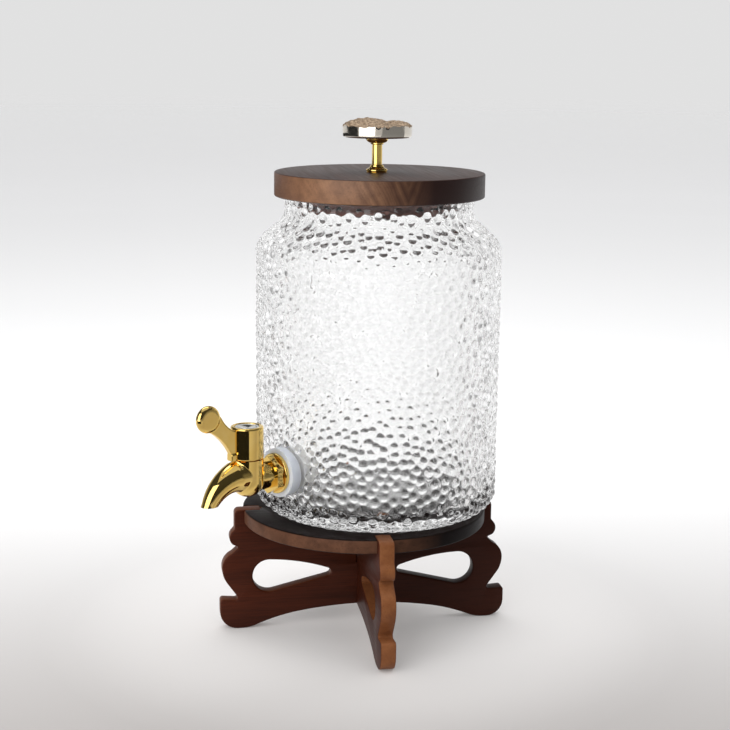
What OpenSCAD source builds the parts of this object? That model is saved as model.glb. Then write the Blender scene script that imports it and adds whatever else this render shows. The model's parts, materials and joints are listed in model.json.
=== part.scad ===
// Glass beverage dispenser: a glass jar with a lever tap and a wooden lid, set on a
// slotted wooden disc that two half-lapped scroll-cut boards carry.
// Frame: origin on the floor under the centre of the stand, +Z up, boards along X and Y.
// All sizes are in millimetres.

/* [Stand] */
// Height of the disc's top face above the floor
seat_z = 80; // [76:1:90]
// Diameter of the disc
disc_d = 157; // [150:1:164]
// Thickness of the disc
disc_t = 9; // [7:0.5:11]
// Rounding of the disc's edges
disc_edge_r = 1.2; // [0.5:0.1:2]
// Length of each slot in the disc, measured in from the rim
slot_l = 10.4; // [8:0.2:14]
// Clearance on each side of a board in its slot or half lap
slot_clear = 0.15; // [0.05:0.05:0.4]
// Diameter of the relief hole at a slot's inner end
relief_d = 3; // [2:0.5:5]
// Thickness of each board
board_t = 9.5; // [8:0.5:12]
// Height of the arch under a board at its middle
arch_h = 13.3; // [11:0.5:16]

/* [Scroll outline] */
// Reach of a toe from the stand's centre
toe_reach = 94.2; // [92:0.2:100]
// Height of a toe's top
toe_h = 20; // [18.5:0.5:21]
// Radius of a foot's outer corner
foot_r = 11.2; // [9:0.2:13]
// Length of the flat under each foot
foot_flat = 2.6; // [2:0.2:5]
// Radius of a foot's heel
heel_r = 26; // [20:1:32]
// Radius of a toe's upper corner
toe_r = 2; // [1:0.2:3]
// Reach of the notch above a toe, measured back from the toe
notch_reach = 11.4; // [9:0.2:14]
// Radius of the notch
notch_r = 1.6; // [1:0.1:2]
// Reach of the large lobe, measured back from the toe
lobe_reach = 1.4; // [-2:0.2:4]
// Height of the lobe's furthest point
lobe_z = 41; // [39:0.5:43]
// Radius of the lobe below its furthest point
lobe_low_r = 18; // [16:0.5:20]
// Radius of the lobe above its furthest point
lobe_top_r = 10.8; // [9:0.2:12]
// Reach of the valley above the lobe, measured back from the toe
valley_reach = 11.5; // [10:0.1:14]
// Radius of the valley
valley_r = 1.2; // [0.8:0.1:1.6]
// Distance of the small bump's middle below the disc's top
bump_drop = 18.7; // [17:0.1:20]
// Radius of the small bump
bump_r = 6; // [5:0.2:7]
// How far the bump stands out past the horn
bump_proud = 3.2; // [2:0.2:4]
// How far a horn stands out past the disc's rim
horn_proud = 6.2; // [4:0.2:8]
// Radius of a horn's upper corner
horn_r = 3; // [2:0.2:4]

/* [Windows] */
// Distance of a window's round end from the stand's centre
win_reach = 62.3; // [58:0.1:66]
// Height of the round end's middle
win_z = 35; // [33:0.5:37]
// Radius of the round end
win_r = 10.8; // [8:0.2:12]
// Distance of the window's tip from the stand's centre
tip_reach = 24.5; // [20:0.5:30]
// Rise of the tip's middle above the round end's middle
tip_rise = 0.9; // [0:0.1:3]
// Radius of the tip
tip_r = 2.7; // [2:0.1:4]
// Radius of the window's bowed upper edge
win_bow_r = 130; // [90:5:200]

/* [Jar] */
// Outer diameter of the jar's body
jar_d = 156; // [150:1:158]
// Height of the glass
jar_h = 200; // [180:1:220]
// Thickness of the glass wall
wall = 4.5; // [3.5:0.1:5.5]
// Thickness of the glass base
base_t = 8; // [6:0.5:10]
// Outer radius of the bottom corner
corner_r = 12.5; // [10:0.5:15]
// Inner radius of the bottom corner
corner_in_r = 11; // [8:0.5:14]
// Height of the hollow under the base
punt_h = 2.5; // [1.5:0.5:4]
// Width of the ring that the jar stands on
stand_ring = 14; // [10:1:20]
// Outer diameter of the neck
neck_d = 120; // [114:1:124]
// Height of the neck below the rim
neck_h = 9.5; // [8.5:0.5:14]
// Radius where the neck turns into the shoulder
neck_turn_r = 7; // [5:0.5:10]
// Radius where the shoulder turns into the body
shoulder_r = 13.5; // [10:0.5:16]
// Slope of the shoulder, from upright
shoulder_a = 49; // [42:1:56]
// Rounding of the rim
rim_r = 1.2; // [0.8:0.1:1.6]
// Place of the jar on the disc, across
jar_x = 8.3; // [-9:0.1:9]
// Place of the jar on the disc, front to back
jar_y = 2.8; // [-9:0.1:9]

/* [Lid and knob] */
// Diameter of the lid
lid_d = 132.4; // [128:0.2:140]
// Thickness of the lid
lid_t = 15; // [12:0.5:18]
// Rounding of the lid's edges
lid_edge_r = 0.9; // [0.4:0.1:1.5]
// Depth of the lid's step inside the neck
step_h = 7; // [6:0.5:8]
// Gap between the lid's step and the glass
step_gap = 3; // [2.5:0.1:4]
// Gap between the seal and the glass
seal_gap = 0.3; // [0.2:0.05:0.5]
// Depth of the seal's groove in the step
groove_d = 2.5; // [2:0.1:3]
// Height of the seal
seal_h = 3.4; // [3:0.1:4]
// Place of the knob on the lid, across
knob_x = -1.8; // [-5:0.1:5]
// Place of the knob on the lid, front to back
knob_y = 0.3; // [-5:0.1:5]
// Height of the knob's post
post_h = 21.6; // [20:0.1:28]
// Diameter of the post's stem
stem_d = 6; // [6:0.1:7]
// Diameter of the post's foot
post_foot_d = 14.6; // [13:0.2:18]
// Height of the post's foot
post_foot_h = 4; // [3:0.2:5]
// Diameter of the post's cup under the knob
cup_d = 14.2; // [13:0.2:18]
// Height of the post's cup
cup_h = 4; // [3.5:0.1:5]
// Diameter of the spigot that enters the knob
spigot_d = 5; // [4:0.1:6]
// Length of the spigot
spigot_l = 4; // [3:0.1:5]
// Diameter of the knob's head at its upper edge
head_d = 44; // [40:0.5:50]
// Taper of the head's side, on its radius
head_taper = 1; // [0.4:0.1:2]
// Height of the head's smooth side
head_h = 7.6; // [6.5:0.1:10]
// Height of the rough crust's larger mound
mound_h = 4.4; // [3:0.1:6]
// Height of the rough crust's smaller mound
mound_small_h = 2.8; // [1.5:0.1:4]
// Height of the rough crust at the head's edge
crust_h = 1; // [0.6:0.1:1.4]
// Diameter of the knob screw's thread
knob_screw_d = 4; // [3.5:0.1:4.5]
// Diameter of the knob screw's head
knob_screw_head_d = 7.8; // [7:0.1:8.5]
// Height of the knob screw's head
knob_screw_head_h = 2.6; // [2:0.1:3]
// How far the knob screw enters the post
knob_screw_bite = 10; // [8:0.5:13]
// Diameter of the washer under the knob screw's head
knob_washer_d = 10; // [9.5:0.1:12]
// Thickness of that washer
knob_washer_t = 1; // [0.8:0.1:1.2]

/* [Tap] */
// Direction of the tap round the jar
tap_angle = -147.2; // [-180:0.1:180]
// Height of the tap's tail above the jar's base
tap_h = 34.5; // [32:0.5:60]
// Diameter of the threaded tail
tail_d = 15.8; // [14:0.1:17]
// Diameter of the bore through the tail
tail_bore_d = 8.4; // [7:0.1:9]
// Clearance round the tail in the glass and the washers
tail_clear = 0.5; // [0.2:0.1:0.8]
// Length of the tail past its nut
tail_past = 2.5; // [1:0.5:5]
// Diameter of the outer washer
outer_washer_d = 30.5; // [29:0.5:32]
// Thickness of the outer washer
outer_washer_t = 5.5; // [3:0.1:6]
// Diameter of the inner washer
inner_washer_d = 28; // [26:0.5:30]
// Thickness of the inner washer
inner_washer_t = 2.5; // [2.2:0.1:3.5]
// Diameter of the backing washer
backing_d = 26; // [25:0.5:28]
// Thickness of the backing washer
backing_t = 1.5; // [1:0.1:2]
// Size of the nut across its flats
nut_af = 22; // [20:0.5:24]
// Thickness of the nut
nut_t = 7; // [5:0.5:9]
// Clearance of threads and pressed fits
thread_clear = 0.05; // [0.02:0.01:0.1]
// Diameter of the flange
flange_d = 25; // [24.4:0.1:27]
// Thickness of the flange
flange_t = 2.4; // [1.5:0.1:4]
// Size of the faceted collar across its flats
collar_af = 20.6; // [19:0.1:21]
// Length of the collar
collar_t = 5; // [3:0.1:5.4]
// Diameter of the neck between collar and barrel
tap_neck_d = 16.4; // [14:0.1:16.8]
// Distance of the barrel's axis from the glass
barrel_out = 28.5; // [26:0.1:34]
// Diameter of the barrel
barrel_d = 20; // [19.5:0.1:22]
// Depth of the barrel below the tail's axis
barrel_low = 10.6; // [10.2:0.1:12]
// Height of the barrel's split above the tail's axis
barrel_top = 13.3; // [12.5:0.1:16]

/* [Spout] */
// Start of the spout's arc, out from the barrel's axis
spout_x = 10; // [9:0.2:12]
// Start of the spout's arc, above the tail's axis
spout_z = 3.1; // [2.5:0.1:3.5]
// Radius of the spout's arc
spout_arc_r = 25.3; // [23:0.1:30]
// Slope of the spout at its root, below level
spout_a0 = 10; // [5:1:15]
// Slope of the spout at its end, below level
spout_a1 = 66; // [60:1:70]
// Diameter of the spout at its root
spout_root_d = 19; // [18:0.1:19.4]
// Diameter of the spout at its outlet
spout_tip_d = 9.7; // [9:0.1:11]
// Diameter of the water channel in the spout
channel_d = 6.2; // [5:0.1:6.6]

/* [Valve and handle] */
// Diameter of the bore that holds the plug, measured back from the barrel's
plug_bore_d = 9; // [8:0.1:9.5]
// Running clearance of the plug in its bore, on the radius
plug_clear = 0.05; // [0.02:0.01:0.1]
// Thickness of the body under the plug
plug_floor = 3.7; // [3.2:0.1:4]
// Diameter of the plug's cross bore
cross_d = 6.4; // [5:0.1:6.6]
// Thickness of an O-ring
ring_t = 1.8; // [1.5:0.1:2]
// Distance of each O-ring from the tail's axis
ring_off = 5.2; // [5:0.1:5.5]
// Height of the collar round the plug, above the split
gland_h = 5.2; // [5:0.1:6]
// Outer diameter of that collar, measured back from the barrel's
gland_d = 4.8; // [4.6:0.1:5.4]
// Height of the gland nut
gland_nut_h = 3.2; // [2.5:0.1:3.4]
// Wall of the collar round the gland nut
gland_wall = 1.1; // [0.9:0.1:1.2]
// Diameter of the plug's stem through the gland nut, measured back from the plug bore's
stem_plug_d = 2.8; // [2.6:0.1:3.4]
// Side of the plug's square drive
drive_s = 5.4; // [5:0.1:5.6]
// Height of the handle's cap
cap_h = 19.8; // [18:0.1:24]
// Gap at the split between cap and barrel
split_gap = 0.3; // [0.2:0.05:0.6]
// Wall of the cap
cap_wall = 2; // [1.6:0.1:2.1]
// Height of the hollow in the cap
cap_hollow = 10.5; // [9:0.1:12]
// Thickness of the web that the screw clamps
web_t = 3; // [2:0.1:4]
// Thickness of the button on the cap
button_t = 1.4; // [1:0.1:2]
// Diameter of the button
button_d = 15; // [13:0.1:15.4]
// Depth of the button below the cap's rim
button_deep = 0.4; // [0.2:0.1:1]
// Width of the ledge under the button
ledge_w = 1.4; // [1:0.1:2]
// Diameter of the handle screw's thread
handle_screw_d = 3; // [2.5:0.1:3.2]
// Diameter of the handle screw's head
handle_screw_head_d = 7; // [6.6:0.1:8]
// Height of the handle screw's head
handle_screw_head_h = 2.2; // [1.6:0.1:2.4]
// How far the handle screw enters the plug
handle_screw_bite = 8; // [6:0.1:10]
// Thickness of the lever
lever_t = 4.4; // [3:0.1:6]
// Diameter of the lever's round end
lever_end_d = 16.6; // [14:0.1:20]
// Thickness of the lever's round end
lever_end_t = 5.6; // [5:0.1:8]
// Distance of the round end from the barrel's axis
lever_reach = 29.1; // [27:0.1:36]
// Height of the round end's middle above the split
lever_rise = 28.3; // [26:0.1:32]
// Reach of the lug at the lever's root
lug_reach = 13.4; // [13:0.1:16]
// Height of that lug
lug_h = 4; // [3:0.1:6]
// Width of that lug
lug_w = 5.4; // [5:0.1:8]

/* [Hidden] */
$fn = 96;
// Facets of the large round faces that the thin washers follow
fine_fn = 480;
// Number of straight steps in a drawn quarter turn
steps = 8;
// Small overlap that carries a cut past a face
over = 1;

// Colours
dark_wood = [0.24, 0.12, 0.08];
walnut = [0.42, 0.25, 0.15];
clear_glass = [0.88, 0.93, 0.94, 0.35];
gold = [0.83, 0.62, 0.25];
champagne = [0.80, 0.74, 0.62];
silver = [0.80, 0.80, 0.78];
silicone = [0.90, 0.90, 0.94];
steel = [0.66, 0.67, 0.69];
white_plastic = [0.90, 0.90, 0.88];

// Stand
disc_r = disc_d / 2;
disc_low_z = seat_z - disc_t;
slot_in = disc_r - slot_l;
slot_w = board_t + 2 * slot_clear;
horn_reach = disc_r + horn_proud;
foot_x = toe_reach - foot_r;
heel_x = foot_x - foot_flat;
lap_z = (arch_h + disc_low_z) / 2;
// Dip of the toe's top towards the notch
toe_dip = 0.6;
// Places of the notch, the lobe and the valley, which follow the toe
notch_x = toe_reach - notch_reach;
lobe_x = toe_reach - lobe_reach;
valley_x = toe_reach - valley_reach;
// Slopes of the arch where its two arcs and the heel meet
arch_a1 = 9.25;
arch_a2 = 22.8;
// Span and rise that the two arcs of the arch share
arch_run = heel_x - heel_r * sin(arch_a2);
arch_rise = arch_h - heel_r * (1 - cos(arch_a2));
// Radii of the two arcs, from two linear equations for span and rise
arch_sin = sin(arch_a2) - sin(arch_a1);
arch_cos = cos(arch_a1) - cos(arch_a2);
arch_det = sin(arch_a1) * arch_cos - arch_sin * (1 - cos(arch_a1));
arch_r1 = (arch_run * arch_cos - arch_sin * arch_rise) / arch_det;
arch_r2 = (sin(arch_a1) * arch_rise - (1 - cos(arch_a1)) * arch_run) / arch_det;
// Angles at which the lobe and the bump run into straight flanks
lobe_a0 = -35;
lobe_a1 = 65;
bump_a = 50;
bump_z = seat_z - bump_drop;
bump_reach = horn_reach + bump_proud;
valley_z = bump_z - bump_r - valley_r / 2;
// Height of the small step between bump and horn
ogee_h = 1.4;

// Jar
jar_r = jar_d / 2;
jar_in_r = jar_r - wall;
neck_r = neck_d / 2;
neck_in_r = neck_r - wall;
rim_z = seat_z + jar_h;
neck_turn_z = jar_h - neck_h;
shoulder_run = jar_r - neck_r;
turn_share = (neck_turn_r + shoulder_r) * (1 - cos(shoulder_a));
slope_l = (shoulder_run - turn_share) / sin(shoulder_a);
shoulder_drop = (neck_turn_r + shoulder_r) * sin(shoulder_a) + slope_l * cos(shoulder_a);
shoulder_z = neck_turn_z - shoulder_drop;
ring_out_r = jar_r - corner_r;
ring_in_r = ring_out_r - stand_ring;

// Lid and knob
lid_r = lid_d / 2;
step_r = neck_in_r - step_gap;
step_z = rim_z - step_h;
lid_top_z = rim_z + lid_t;
seal_out_r = neck_in_r - seal_gap;
seal_in_r = step_r - groove_d;
seal_z = step_z + (step_h - seal_h) / 2;
// Chamfer of the step's lower edge
step_chamfer = 0.6;
// Clearance of the screw in its hole and of the washer in its well, on the radius
screw_clear = 0.25;
well_clear = 0.5;
// Height of the well for the knob screw's head and washer, which stay inside the step
well_spare = 0.6;
screw_well_h = knob_screw_head_h + knob_washer_t + well_spare;
well_z = step_z + screw_well_h;
knob_z = lid_top_z + post_h;
screw_hole_r = knob_screw_d / 2 + screw_clear;
// Mounds of the crust: share of the head's radius for place and spread
mound_at = -0.27;
mound_spread = 0.74;
mound_small_at = 0.52;
mound_small_spread = 0.46;

// Tap
tail_z = seat_z + tap_h;
flange_x = jar_r + outer_washer_t;
barrel_x = jar_r + barrel_out;
barrel_r = barrel_d / 2;
split_z = tail_z + barrel_top;
inner_face_x = jar_in_r - inner_washer_t;
nut_x = inner_face_x - backing_t - nut_t;
tail_end_x = nut_x - tail_past;
tail_r = tail_d / 2;
hole_r = tail_r + tail_clear;
plug_bore_r = (barrel_d - plug_bore_d) / 2;
plug_r = plug_bore_r - plug_clear;
plug_stem_r = plug_bore_r - stem_plug_d / 2;
plug_low_z = tail_z - barrel_low + plug_floor;
gland_z = split_z + gland_h - gland_nut_h;
gland_r = (barrel_d - gland_d) / 2;
gland_in_r = gland_r - gland_wall;
// Free height left under the plug and under the gland nut
plug_end_play = 0.1;
// Free height of an O-ring in its groove, on each side
ring_play = 0.05;
// How far the square drive stops below the web's top, so that the screw clamps the web
drive_short = 0.2;
// Width of the slot in the handle screw
screw_slot = 0.8;
// Play of the button in its recess, on the radius
button_play = 0.1;
cap_low_z = split_z + split_gap;
cap_top_z = cap_low_z + cap_h;
hollow_z = cap_low_z + cap_hollow;
web_z = hollow_z + web_t;
cap_in_r = barrel_r - cap_wall;
button_top_z = cap_top_z - button_deep;
button_z = button_top_z - button_t;
button_r = button_d / 2;
screw_bore_r = handle_screw_d / 2 + thread_clear;
lever_end_r = lever_end_d / 2;

// Points on an arc about c, from angle a0 to a1
function arc(c, r, a0, a1, n = steps) =
    [for (i = [0:n]) let (a = a0 + (a1 - a0) * i / n) c + r * [cos(a), sin(a)]];

// Points on a shallow curve from p to q that bows s to the left of its chord
function bow(p, q, s, n = steps) =
    let (d = q - p, m = [-d[1], d[0]] / norm(d))
    [for (i = [0:n]) let (t = i / n) p + d * t + m * 4 * s * t * (1 - t)];

// A list of points mirrored in the vertical axis and turned round
function mirrored(pts) = [for (i = [len(pts) - 1:-1:0]) [-pts[i][0], pts[i][1]]];

// Direction in degrees from p to q
function heading(p, q) = atan2(q[1] - p[1], q[0] - p[0]);

// Place of the jar and of the tap
module on_jar() { translate([jar_x, jar_y, 0]) children(); }
module at_tap() { on_jar() rotate([0, 0, tap_angle]) children(); }
module at_knob() { translate([jar_x + knob_x, jar_y + knob_y, 0]) children(); }
module at_barrel() { at_tap() translate([barrel_x, 0, 0]) children(); }

// A round bar along the tap's axis from x0 to x1
module tail_bar(r, x0, x1) { translate([x0, 0, tail_z]) rotate([0, 90, 0]) cylinder(r = r, h = x1 - x0); }

// A hexagonal bar along the tap's axis, with corners above and below
module tail_hex(af, x0, x1) {
    translate([x0, 0, tail_z]) rotate([0, 90, 0]) cylinder(d = af / cos(30), h = x1 - x0, $fn = 6);
}

// A cone between two points of the tap's upright middle plane
module plane_cone(p, q, r0, r1) {
    d = q - p;
    translate([p[0], 0, p[1]]) rotate([0, 90 - heading(p, q), 0]) cylinder(r1 = r0, r2 = r1, h = norm(d));
}

// Seat of the stand

module stand_disc() {
    color(dark_wood) difference() {
        translate([0, 0, disc_low_z]) rotate_extrude() polygon(concat(
            [[0, 0]],
            arc([disc_r - disc_edge_r, disc_edge_r], disc_edge_r, -90, 0, 4),
            arc([disc_r - disc_edge_r, disc_t - disc_edge_r], disc_edge_r, 0, 90, 4),
            [[0, disc_t]]));
        for (a = [0:90:270]) rotate([0, 0, a]) {
            translate([slot_in, -slot_w / 2, disc_low_z - over])
                cube([slot_l + over, slot_w, disc_t + 2 * over]);
            translate([slot_in, 0, disc_low_z - over]) cylinder(d = relief_d, h = disc_t + 2 * over);
        }
    }
}

// Legs of the stand

// Outline of one side of a board, from the middle of the arch to the middle of the top
function half_board() =
    let (
        c1 = [0, arch_h - arch_r1],
        c2 = c1 + (arch_r1 - arch_r2) * [sin(arch_a1), cos(arch_a1)],
        notch_c = [notch_x + notch_r, toe_h - toe_dip + notch_r],
        lobe_low_c = [lobe_x - lobe_low_r, lobe_z],
        lobe_top_c = [lobe_x - lobe_top_r, lobe_z],
        valley_c = [valley_x + valley_r, valley_z],
        bump_c = [bump_reach - bump_r, bump_z])
    concat(
        arc(c1, arch_r1, 90, 90 - arch_a1),
        arc(c2, arch_r2, 90 - arch_a1, 90 - arch_a2),
        arc([heel_x, heel_r], heel_r, 270 - arch_a2, 270),
        arc([foot_x, foot_r], foot_r, -90, 0),
        arc([toe_reach - toe_r, toe_h - toe_r], toe_r, 0, 90, 4),
        arc(notch_c, notch_r, 270, 90 - lobe_a0, 4),
        arc(lobe_low_c, lobe_low_r, lobe_a0, 0),
        arc(lobe_top_c, lobe_top_r, 0, lobe_a1),
        arc(valley_c, valley_r, 180 + lobe_a1, 180 - bump_a, 4),
        arc(bump_c, bump_r, -bump_a, bump_a),
        [[horn_reach, bump_z + bump_r * sin(bump_a) + ogee_h]],
        arc([horn_reach - horn_r, seat_z - horn_r], horn_r, 0, 90, 4),
        [[slot_in + slot_clear, seat_z], [slot_in + slot_clear, disc_low_z]]);

// Teardrop window: a round end, a bowed upper edge, a tip and a straight lower edge
module window() {
    round_c = [win_reach, win_z];
    tip_c = [tip_reach, win_z + tip_rise];
    span = norm(tip_c - round_c);
    lie = heading(tip_c, round_c);
    // Middle of the bow, which both rounds touch from inside
    far = win_bow_r - tip_r;
    near = win_bow_r - win_r;
    off = acos((far * far + span * span - near * near) / (2 * far * span));
    bow_c = tip_c + far * [cos(lie - off), sin(lie - off)];
    // Direction of the straight edge's touching points
    touch = lie - acos((tip_r - win_r) / span);
    bow_a = heading(bow_c, round_c);
    tip_a = heading(bow_c, tip_c);
    polygon(concat(
        arc(round_c, win_r, touch, bow_a, 3 * steps),
        arc(bow_c, win_bow_r, bow_a, tip_a),
        arc(tip_c, tip_r, tip_a, touch + 360)));
}

// A whole board standing in the plane of X and Z
module board() {
    half = half_board();
    rotate([90, 0, 0]) translate([0, 0, -board_t / 2]) linear_extrude(board_t) difference() {
        polygon(concat(half, mirrored(half)));
        window();
        mirror([1, 0]) window();
    }
}

module stand_board_x() {
    color(dark_wood) difference() {
        board();
        translate([-slot_w / 2, -board_t, lap_z]) cube([slot_w, 2 * board_t, seat_z]);
    }
}

module stand_board_y() {
    color(dark_wood) rotate([0, 0, 90]) difference() {
        board();
        translate([-slot_w / 2, -board_t, lap_z - seat_z]) cube([slot_w, 2 * board_t, seat_z]);
    }
}

// Glass

// Section of the jar: out along the base, up the outside, over the rim and down the inside
function jar_section() =
    let (
        turn_c = [neck_r + neck_turn_r, neck_turn_z],
        shoulder_c = [jar_r - shoulder_r, shoulder_z],
        turn_in_r = neck_turn_r + wall,
        shoulder_in_r = shoulder_r - wall,
        inner_c = [jar_in_r - corner_in_r, base_t + corner_in_r])
    concat(
        [[0, punt_h]],
        bow([ring_in_r - 4 * punt_h, punt_h], [ring_in_r, 0], punt_h / 8, 4),
        arc([ring_out_r, corner_r], corner_r, -90, 0),
        arc(shoulder_c, shoulder_r, 0, shoulder_a),
        arc(turn_c, neck_turn_r, 180 + shoulder_a, 180),
        arc([neck_r - rim_r, jar_h - rim_r], rim_r, 0, 90, 4),
        arc([neck_in_r + rim_r, jar_h - rim_r], rim_r, 90, 180, 4),
        arc(turn_c, turn_in_r, 180, 180 + shoulder_a),
        arc(shoulder_c, shoulder_in_r, shoulder_a, 0),
        arc(inner_c, corner_in_r, 0, -90),
        [[0, base_t]]);

module glass_jar() {
    color(clear_glass) difference() {
        on_jar() translate([0, 0, seat_z]) rotate_extrude() polygon(jar_section());
        at_tap() tail_bar(hole_r, jar_in_r - wall, jar_r + wall);
    }
}

// Fixing of the tap in the glass

module outer_washer() {
    // Edge of the washer that follows the round glass
    wrap = jar_r - sqrt(jar_r * jar_r - outer_washer_d * outer_washer_d / 4);
    color(silicone) difference() {
        at_tap() tail_bar(outer_washer_d / 2, jar_r - wrap - over, flange_x);
        on_jar() translate([0, 0, seat_z]) cylinder(r = jar_r, h = jar_h, $fn = fine_fn);
        at_tap() tail_bar(hole_r, jar_in_r, flange_x + over);
    }
}

module inner_washer() {
    color(silicone) difference() {
        intersection() {
            at_tap() tail_bar(inner_washer_d / 2, inner_face_x, jar_r);
            on_jar() translate([0, 0, seat_z]) cylinder(r = jar_in_r, h = jar_h, $fn = fine_fn);
        }
        at_tap() tail_bar(hole_r, tail_end_x, jar_r);
    }
}

module backing_washer() {
    color(white_plastic) at_tap() difference() {
        tail_bar(backing_d / 2, inner_face_x - backing_t, inner_face_x);
        tail_bar(hole_r, nut_x, jar_r);
    }
}

module tail_nut() {
    color(white_plastic) at_tap() difference() {
        tail_hex(nut_af, nut_x, nut_x + nut_t);
        tail_bar(tail_r + thread_clear, tail_end_x, jar_r);
    }
}

// Tap body

// Round joints between two lengths stand out by this much, so that the lengths run into them
joint_proud = 0.08;

// Middle of the spout at share t of its arc, out from the barrel and up from the floor
function spout_point(t) =
    let (a = spout_a0 + (spout_a1 - spout_a0) * t)
    [spout_x + spout_arc_r * (sin(a) - sin(spout_a0)),
     tail_z + spout_z - spout_arc_r * (cos(spout_a0) - cos(a))];

// Radius of the spout there, falling faster near the root
function spout_radius(t) = (spout_root_d + (spout_tip_d - spout_root_d) * pow(t, 0.8)) / 2;

module spout() {
    n = 6;
    plane_cone([0, tail_z + spout_z], spout_point(0), barrel_r - 2 * joint_proud, spout_radius(0));
    for (i = [0:n - 1]) {
        t0 = i / n;
        t1 = (i + 1) / n;
        p = spout_point(t0);
        plane_cone(p, spout_point(t1), spout_radius(t0), spout_radius(t1));
        translate([p[0], 0, p[1]]) sphere(r = spout_radius(t0) + joint_proud);
    }
    end = spout_point(1);
    drop = spout_tip_d * [cos(spout_a1), -sin(spout_a1)];
    translate([end[0], 0, end[1]]) sphere(r = spout_tip_d / 2 + joint_proud);
    plane_cone(end, end + drop, spout_tip_d / 2, spout_tip_d / 2);
}

// Water channel from the barrel to the outlet, in two straight lengths
module channel() {
    bend_at = 0.62;
    start = [0, tail_z];
    bend = spout_point(bend_at);
    end = spout_point(1);
    way = (end - bend) / norm(end - bend);
    plane_cone(start, bend, channel_d / 2, channel_d / 2);
    translate([bend[0], 0, bend[1]]) sphere(r = channel_d / 2 + joint_proud);
    plane_cone(bend, end + spout_tip_d * way, channel_d / 2, channel_d / 2);
}

module barrel() {
    low = tail_z - barrel_low;
    rotate_extrude() polygon(concat(
        arc([0, low + barrel_r], barrel_r, -90, 0, 2 * steps),
        [[barrel_r, split_z], [gland_r, split_z]],
        [[gland_r, split_z + gland_h], [0, split_z + gland_h]]));
}

module tap_body() {
    outlet = spout_point(1);
    // Block that cuts the spout off level, longer and wider than the spout below its outlet
    block = [outlet[0] + 2 * spout_tip_d, spout_root_d, 2 * spout_tip_d];
    color(gold) at_tap() difference() {
        union() {
            tail_bar(tail_r, tail_end_x, flange_x + over);
            tail_bar(flange_d / 2, flange_x, flange_x + flange_t);
            tail_hex(collar_af, flange_x + flange_t, flange_x + flange_t + collar_t);
            tail_bar(tap_neck_d / 2, flange_x + flange_t, barrel_x);
            translate([barrel_x, 0, 0]) {
                barrel();
                difference() {
                    spout();
                    translate([0, -block[1] / 2, outlet[1] - block[2]]) cube(block);
                }
            }
        }
        translate([barrel_x, 0, plug_low_z]) cylinder(r = plug_bore_r, h = cap_top_z - plug_low_z);
        translate([barrel_x, 0, gland_z]) cylinder(r = gland_in_r, h = cap_top_z - gland_z);
        tail_bar(tail_bore_d / 2, tail_end_x - over, barrel_x);
        translate([barrel_x, 0, 0]) channel();
    }
}

// Valve

module gland_nut() {
    r = gland_in_r - thread_clear;
    spanner_w = 1.4;
    color(steel) at_barrel() translate([0, 0, gland_z]) difference() {
        cylinder(r = r, h = gland_nut_h);
        translate([0, 0, -over]) cylinder(r = plug_stem_r + plug_clear, h = gland_nut_h + 2 * over);
        // Two spanner slots across the top
        translate([-r - over, -spanner_w / 2, gland_nut_h - spanner_w])
            cube([2 * r + 2 * over, spanner_w, gland_nut_h]);
    }
}

module valve_plug() {
    low = plug_low_z + plug_end_play;
    top = gland_z - plug_end_play;
    groove_h = ring_t + 2 * ring_play;
    color(silver) at_barrel() difference() {
        union() {
            translate([0, 0, low]) cylinder(r = plug_r, h = top - low);
            translate([0, 0, top - over]) cylinder(r = plug_stem_r, h = hollow_z - top + over);
            translate([-drive_s / 2, -drive_s / 2, hollow_z - over])
                cube([drive_s, drive_s, web_t + over - drive_short]);
        }
        // Cross bore, which stands across the flow while the handle is shut
        translate([0, barrel_r, tail_z]) rotate([90, 0, 0]) cylinder(d = cross_d, h = barrel_d);
        for (s = [-1, 1]) translate([0, 0, tail_z + s * ring_off - groove_h / 2]) difference() {
            cylinder(r = barrel_r, h = groove_h);
            translate([0, 0, -over]) cylinder(r = plug_r - ring_t, h = groove_h + 2 * over);
        }
        translate([0, 0, web_z - handle_screw_bite - web_t]) cylinder(r = screw_bore_r, h = barrel_d);
    }
}

module plug_o_rings() {
    ring_r = ring_t / 2;
    color([0.1, 0.1, 0.1]) at_barrel() for (s = [-1, 1])
        translate([0, 0, tail_z + s * ring_off])
            rotate_extrude() translate([plug_r - ring_r, 0]) circle(r = ring_r);
}

// Handle

module cap() {
    edge = 1;
    recess_r = button_r + button_play;
    rotate_extrude() polygon(concat(
        [[cap_in_r, cap_low_z], [barrel_r - edge / 2, cap_low_z], [barrel_r, cap_low_z + edge / 2]],
        arc([barrel_r - edge, cap_top_z - edge], edge, 0, 90, 4),
        [[recess_r, cap_top_z], [recess_r, button_z], [button_r - ledge_w, button_z],
         [button_r - ledge_w, web_z], [0, web_z], [0, hollow_z], [cap_in_r, hollow_z]]));
}

// Side view of the lever, out from the barrel's axis and up from the floor
module lever_outline() {
    root_x = barrel_r - cap_wall / 2;
    // Height of the root's lower edge above the cap's foot, and of its upper edge below the cap's top
    root_low = cap_low_z + 3.4;
    root_top = cap_top_z - 1;
    // Level lengths of the root before its edges curve away
    low_run = 1.5;
    top_run = 1;
    // How much the lower and the upper edge bow in
    low_bow = 1.6;
    top_bow = 1.2;
    end_c = [lever_reach, split_z + lever_rise];
    // Where the lever's edges run into its round end, as angles about its middle
    top_a = 175;
    low_a = 263;
    polygon(concat(
        [[root_x, root_low]],
        bow([barrel_r + low_run, root_low], end_c + lever_end_r * [cos(low_a), sin(low_a)], low_bow),
        [end_c],
        bow(end_c + lever_end_r * [cos(top_a), sin(top_a)], [barrel_r + top_run, root_top], top_bow),
        [[root_x, root_top]]));
}

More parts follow.
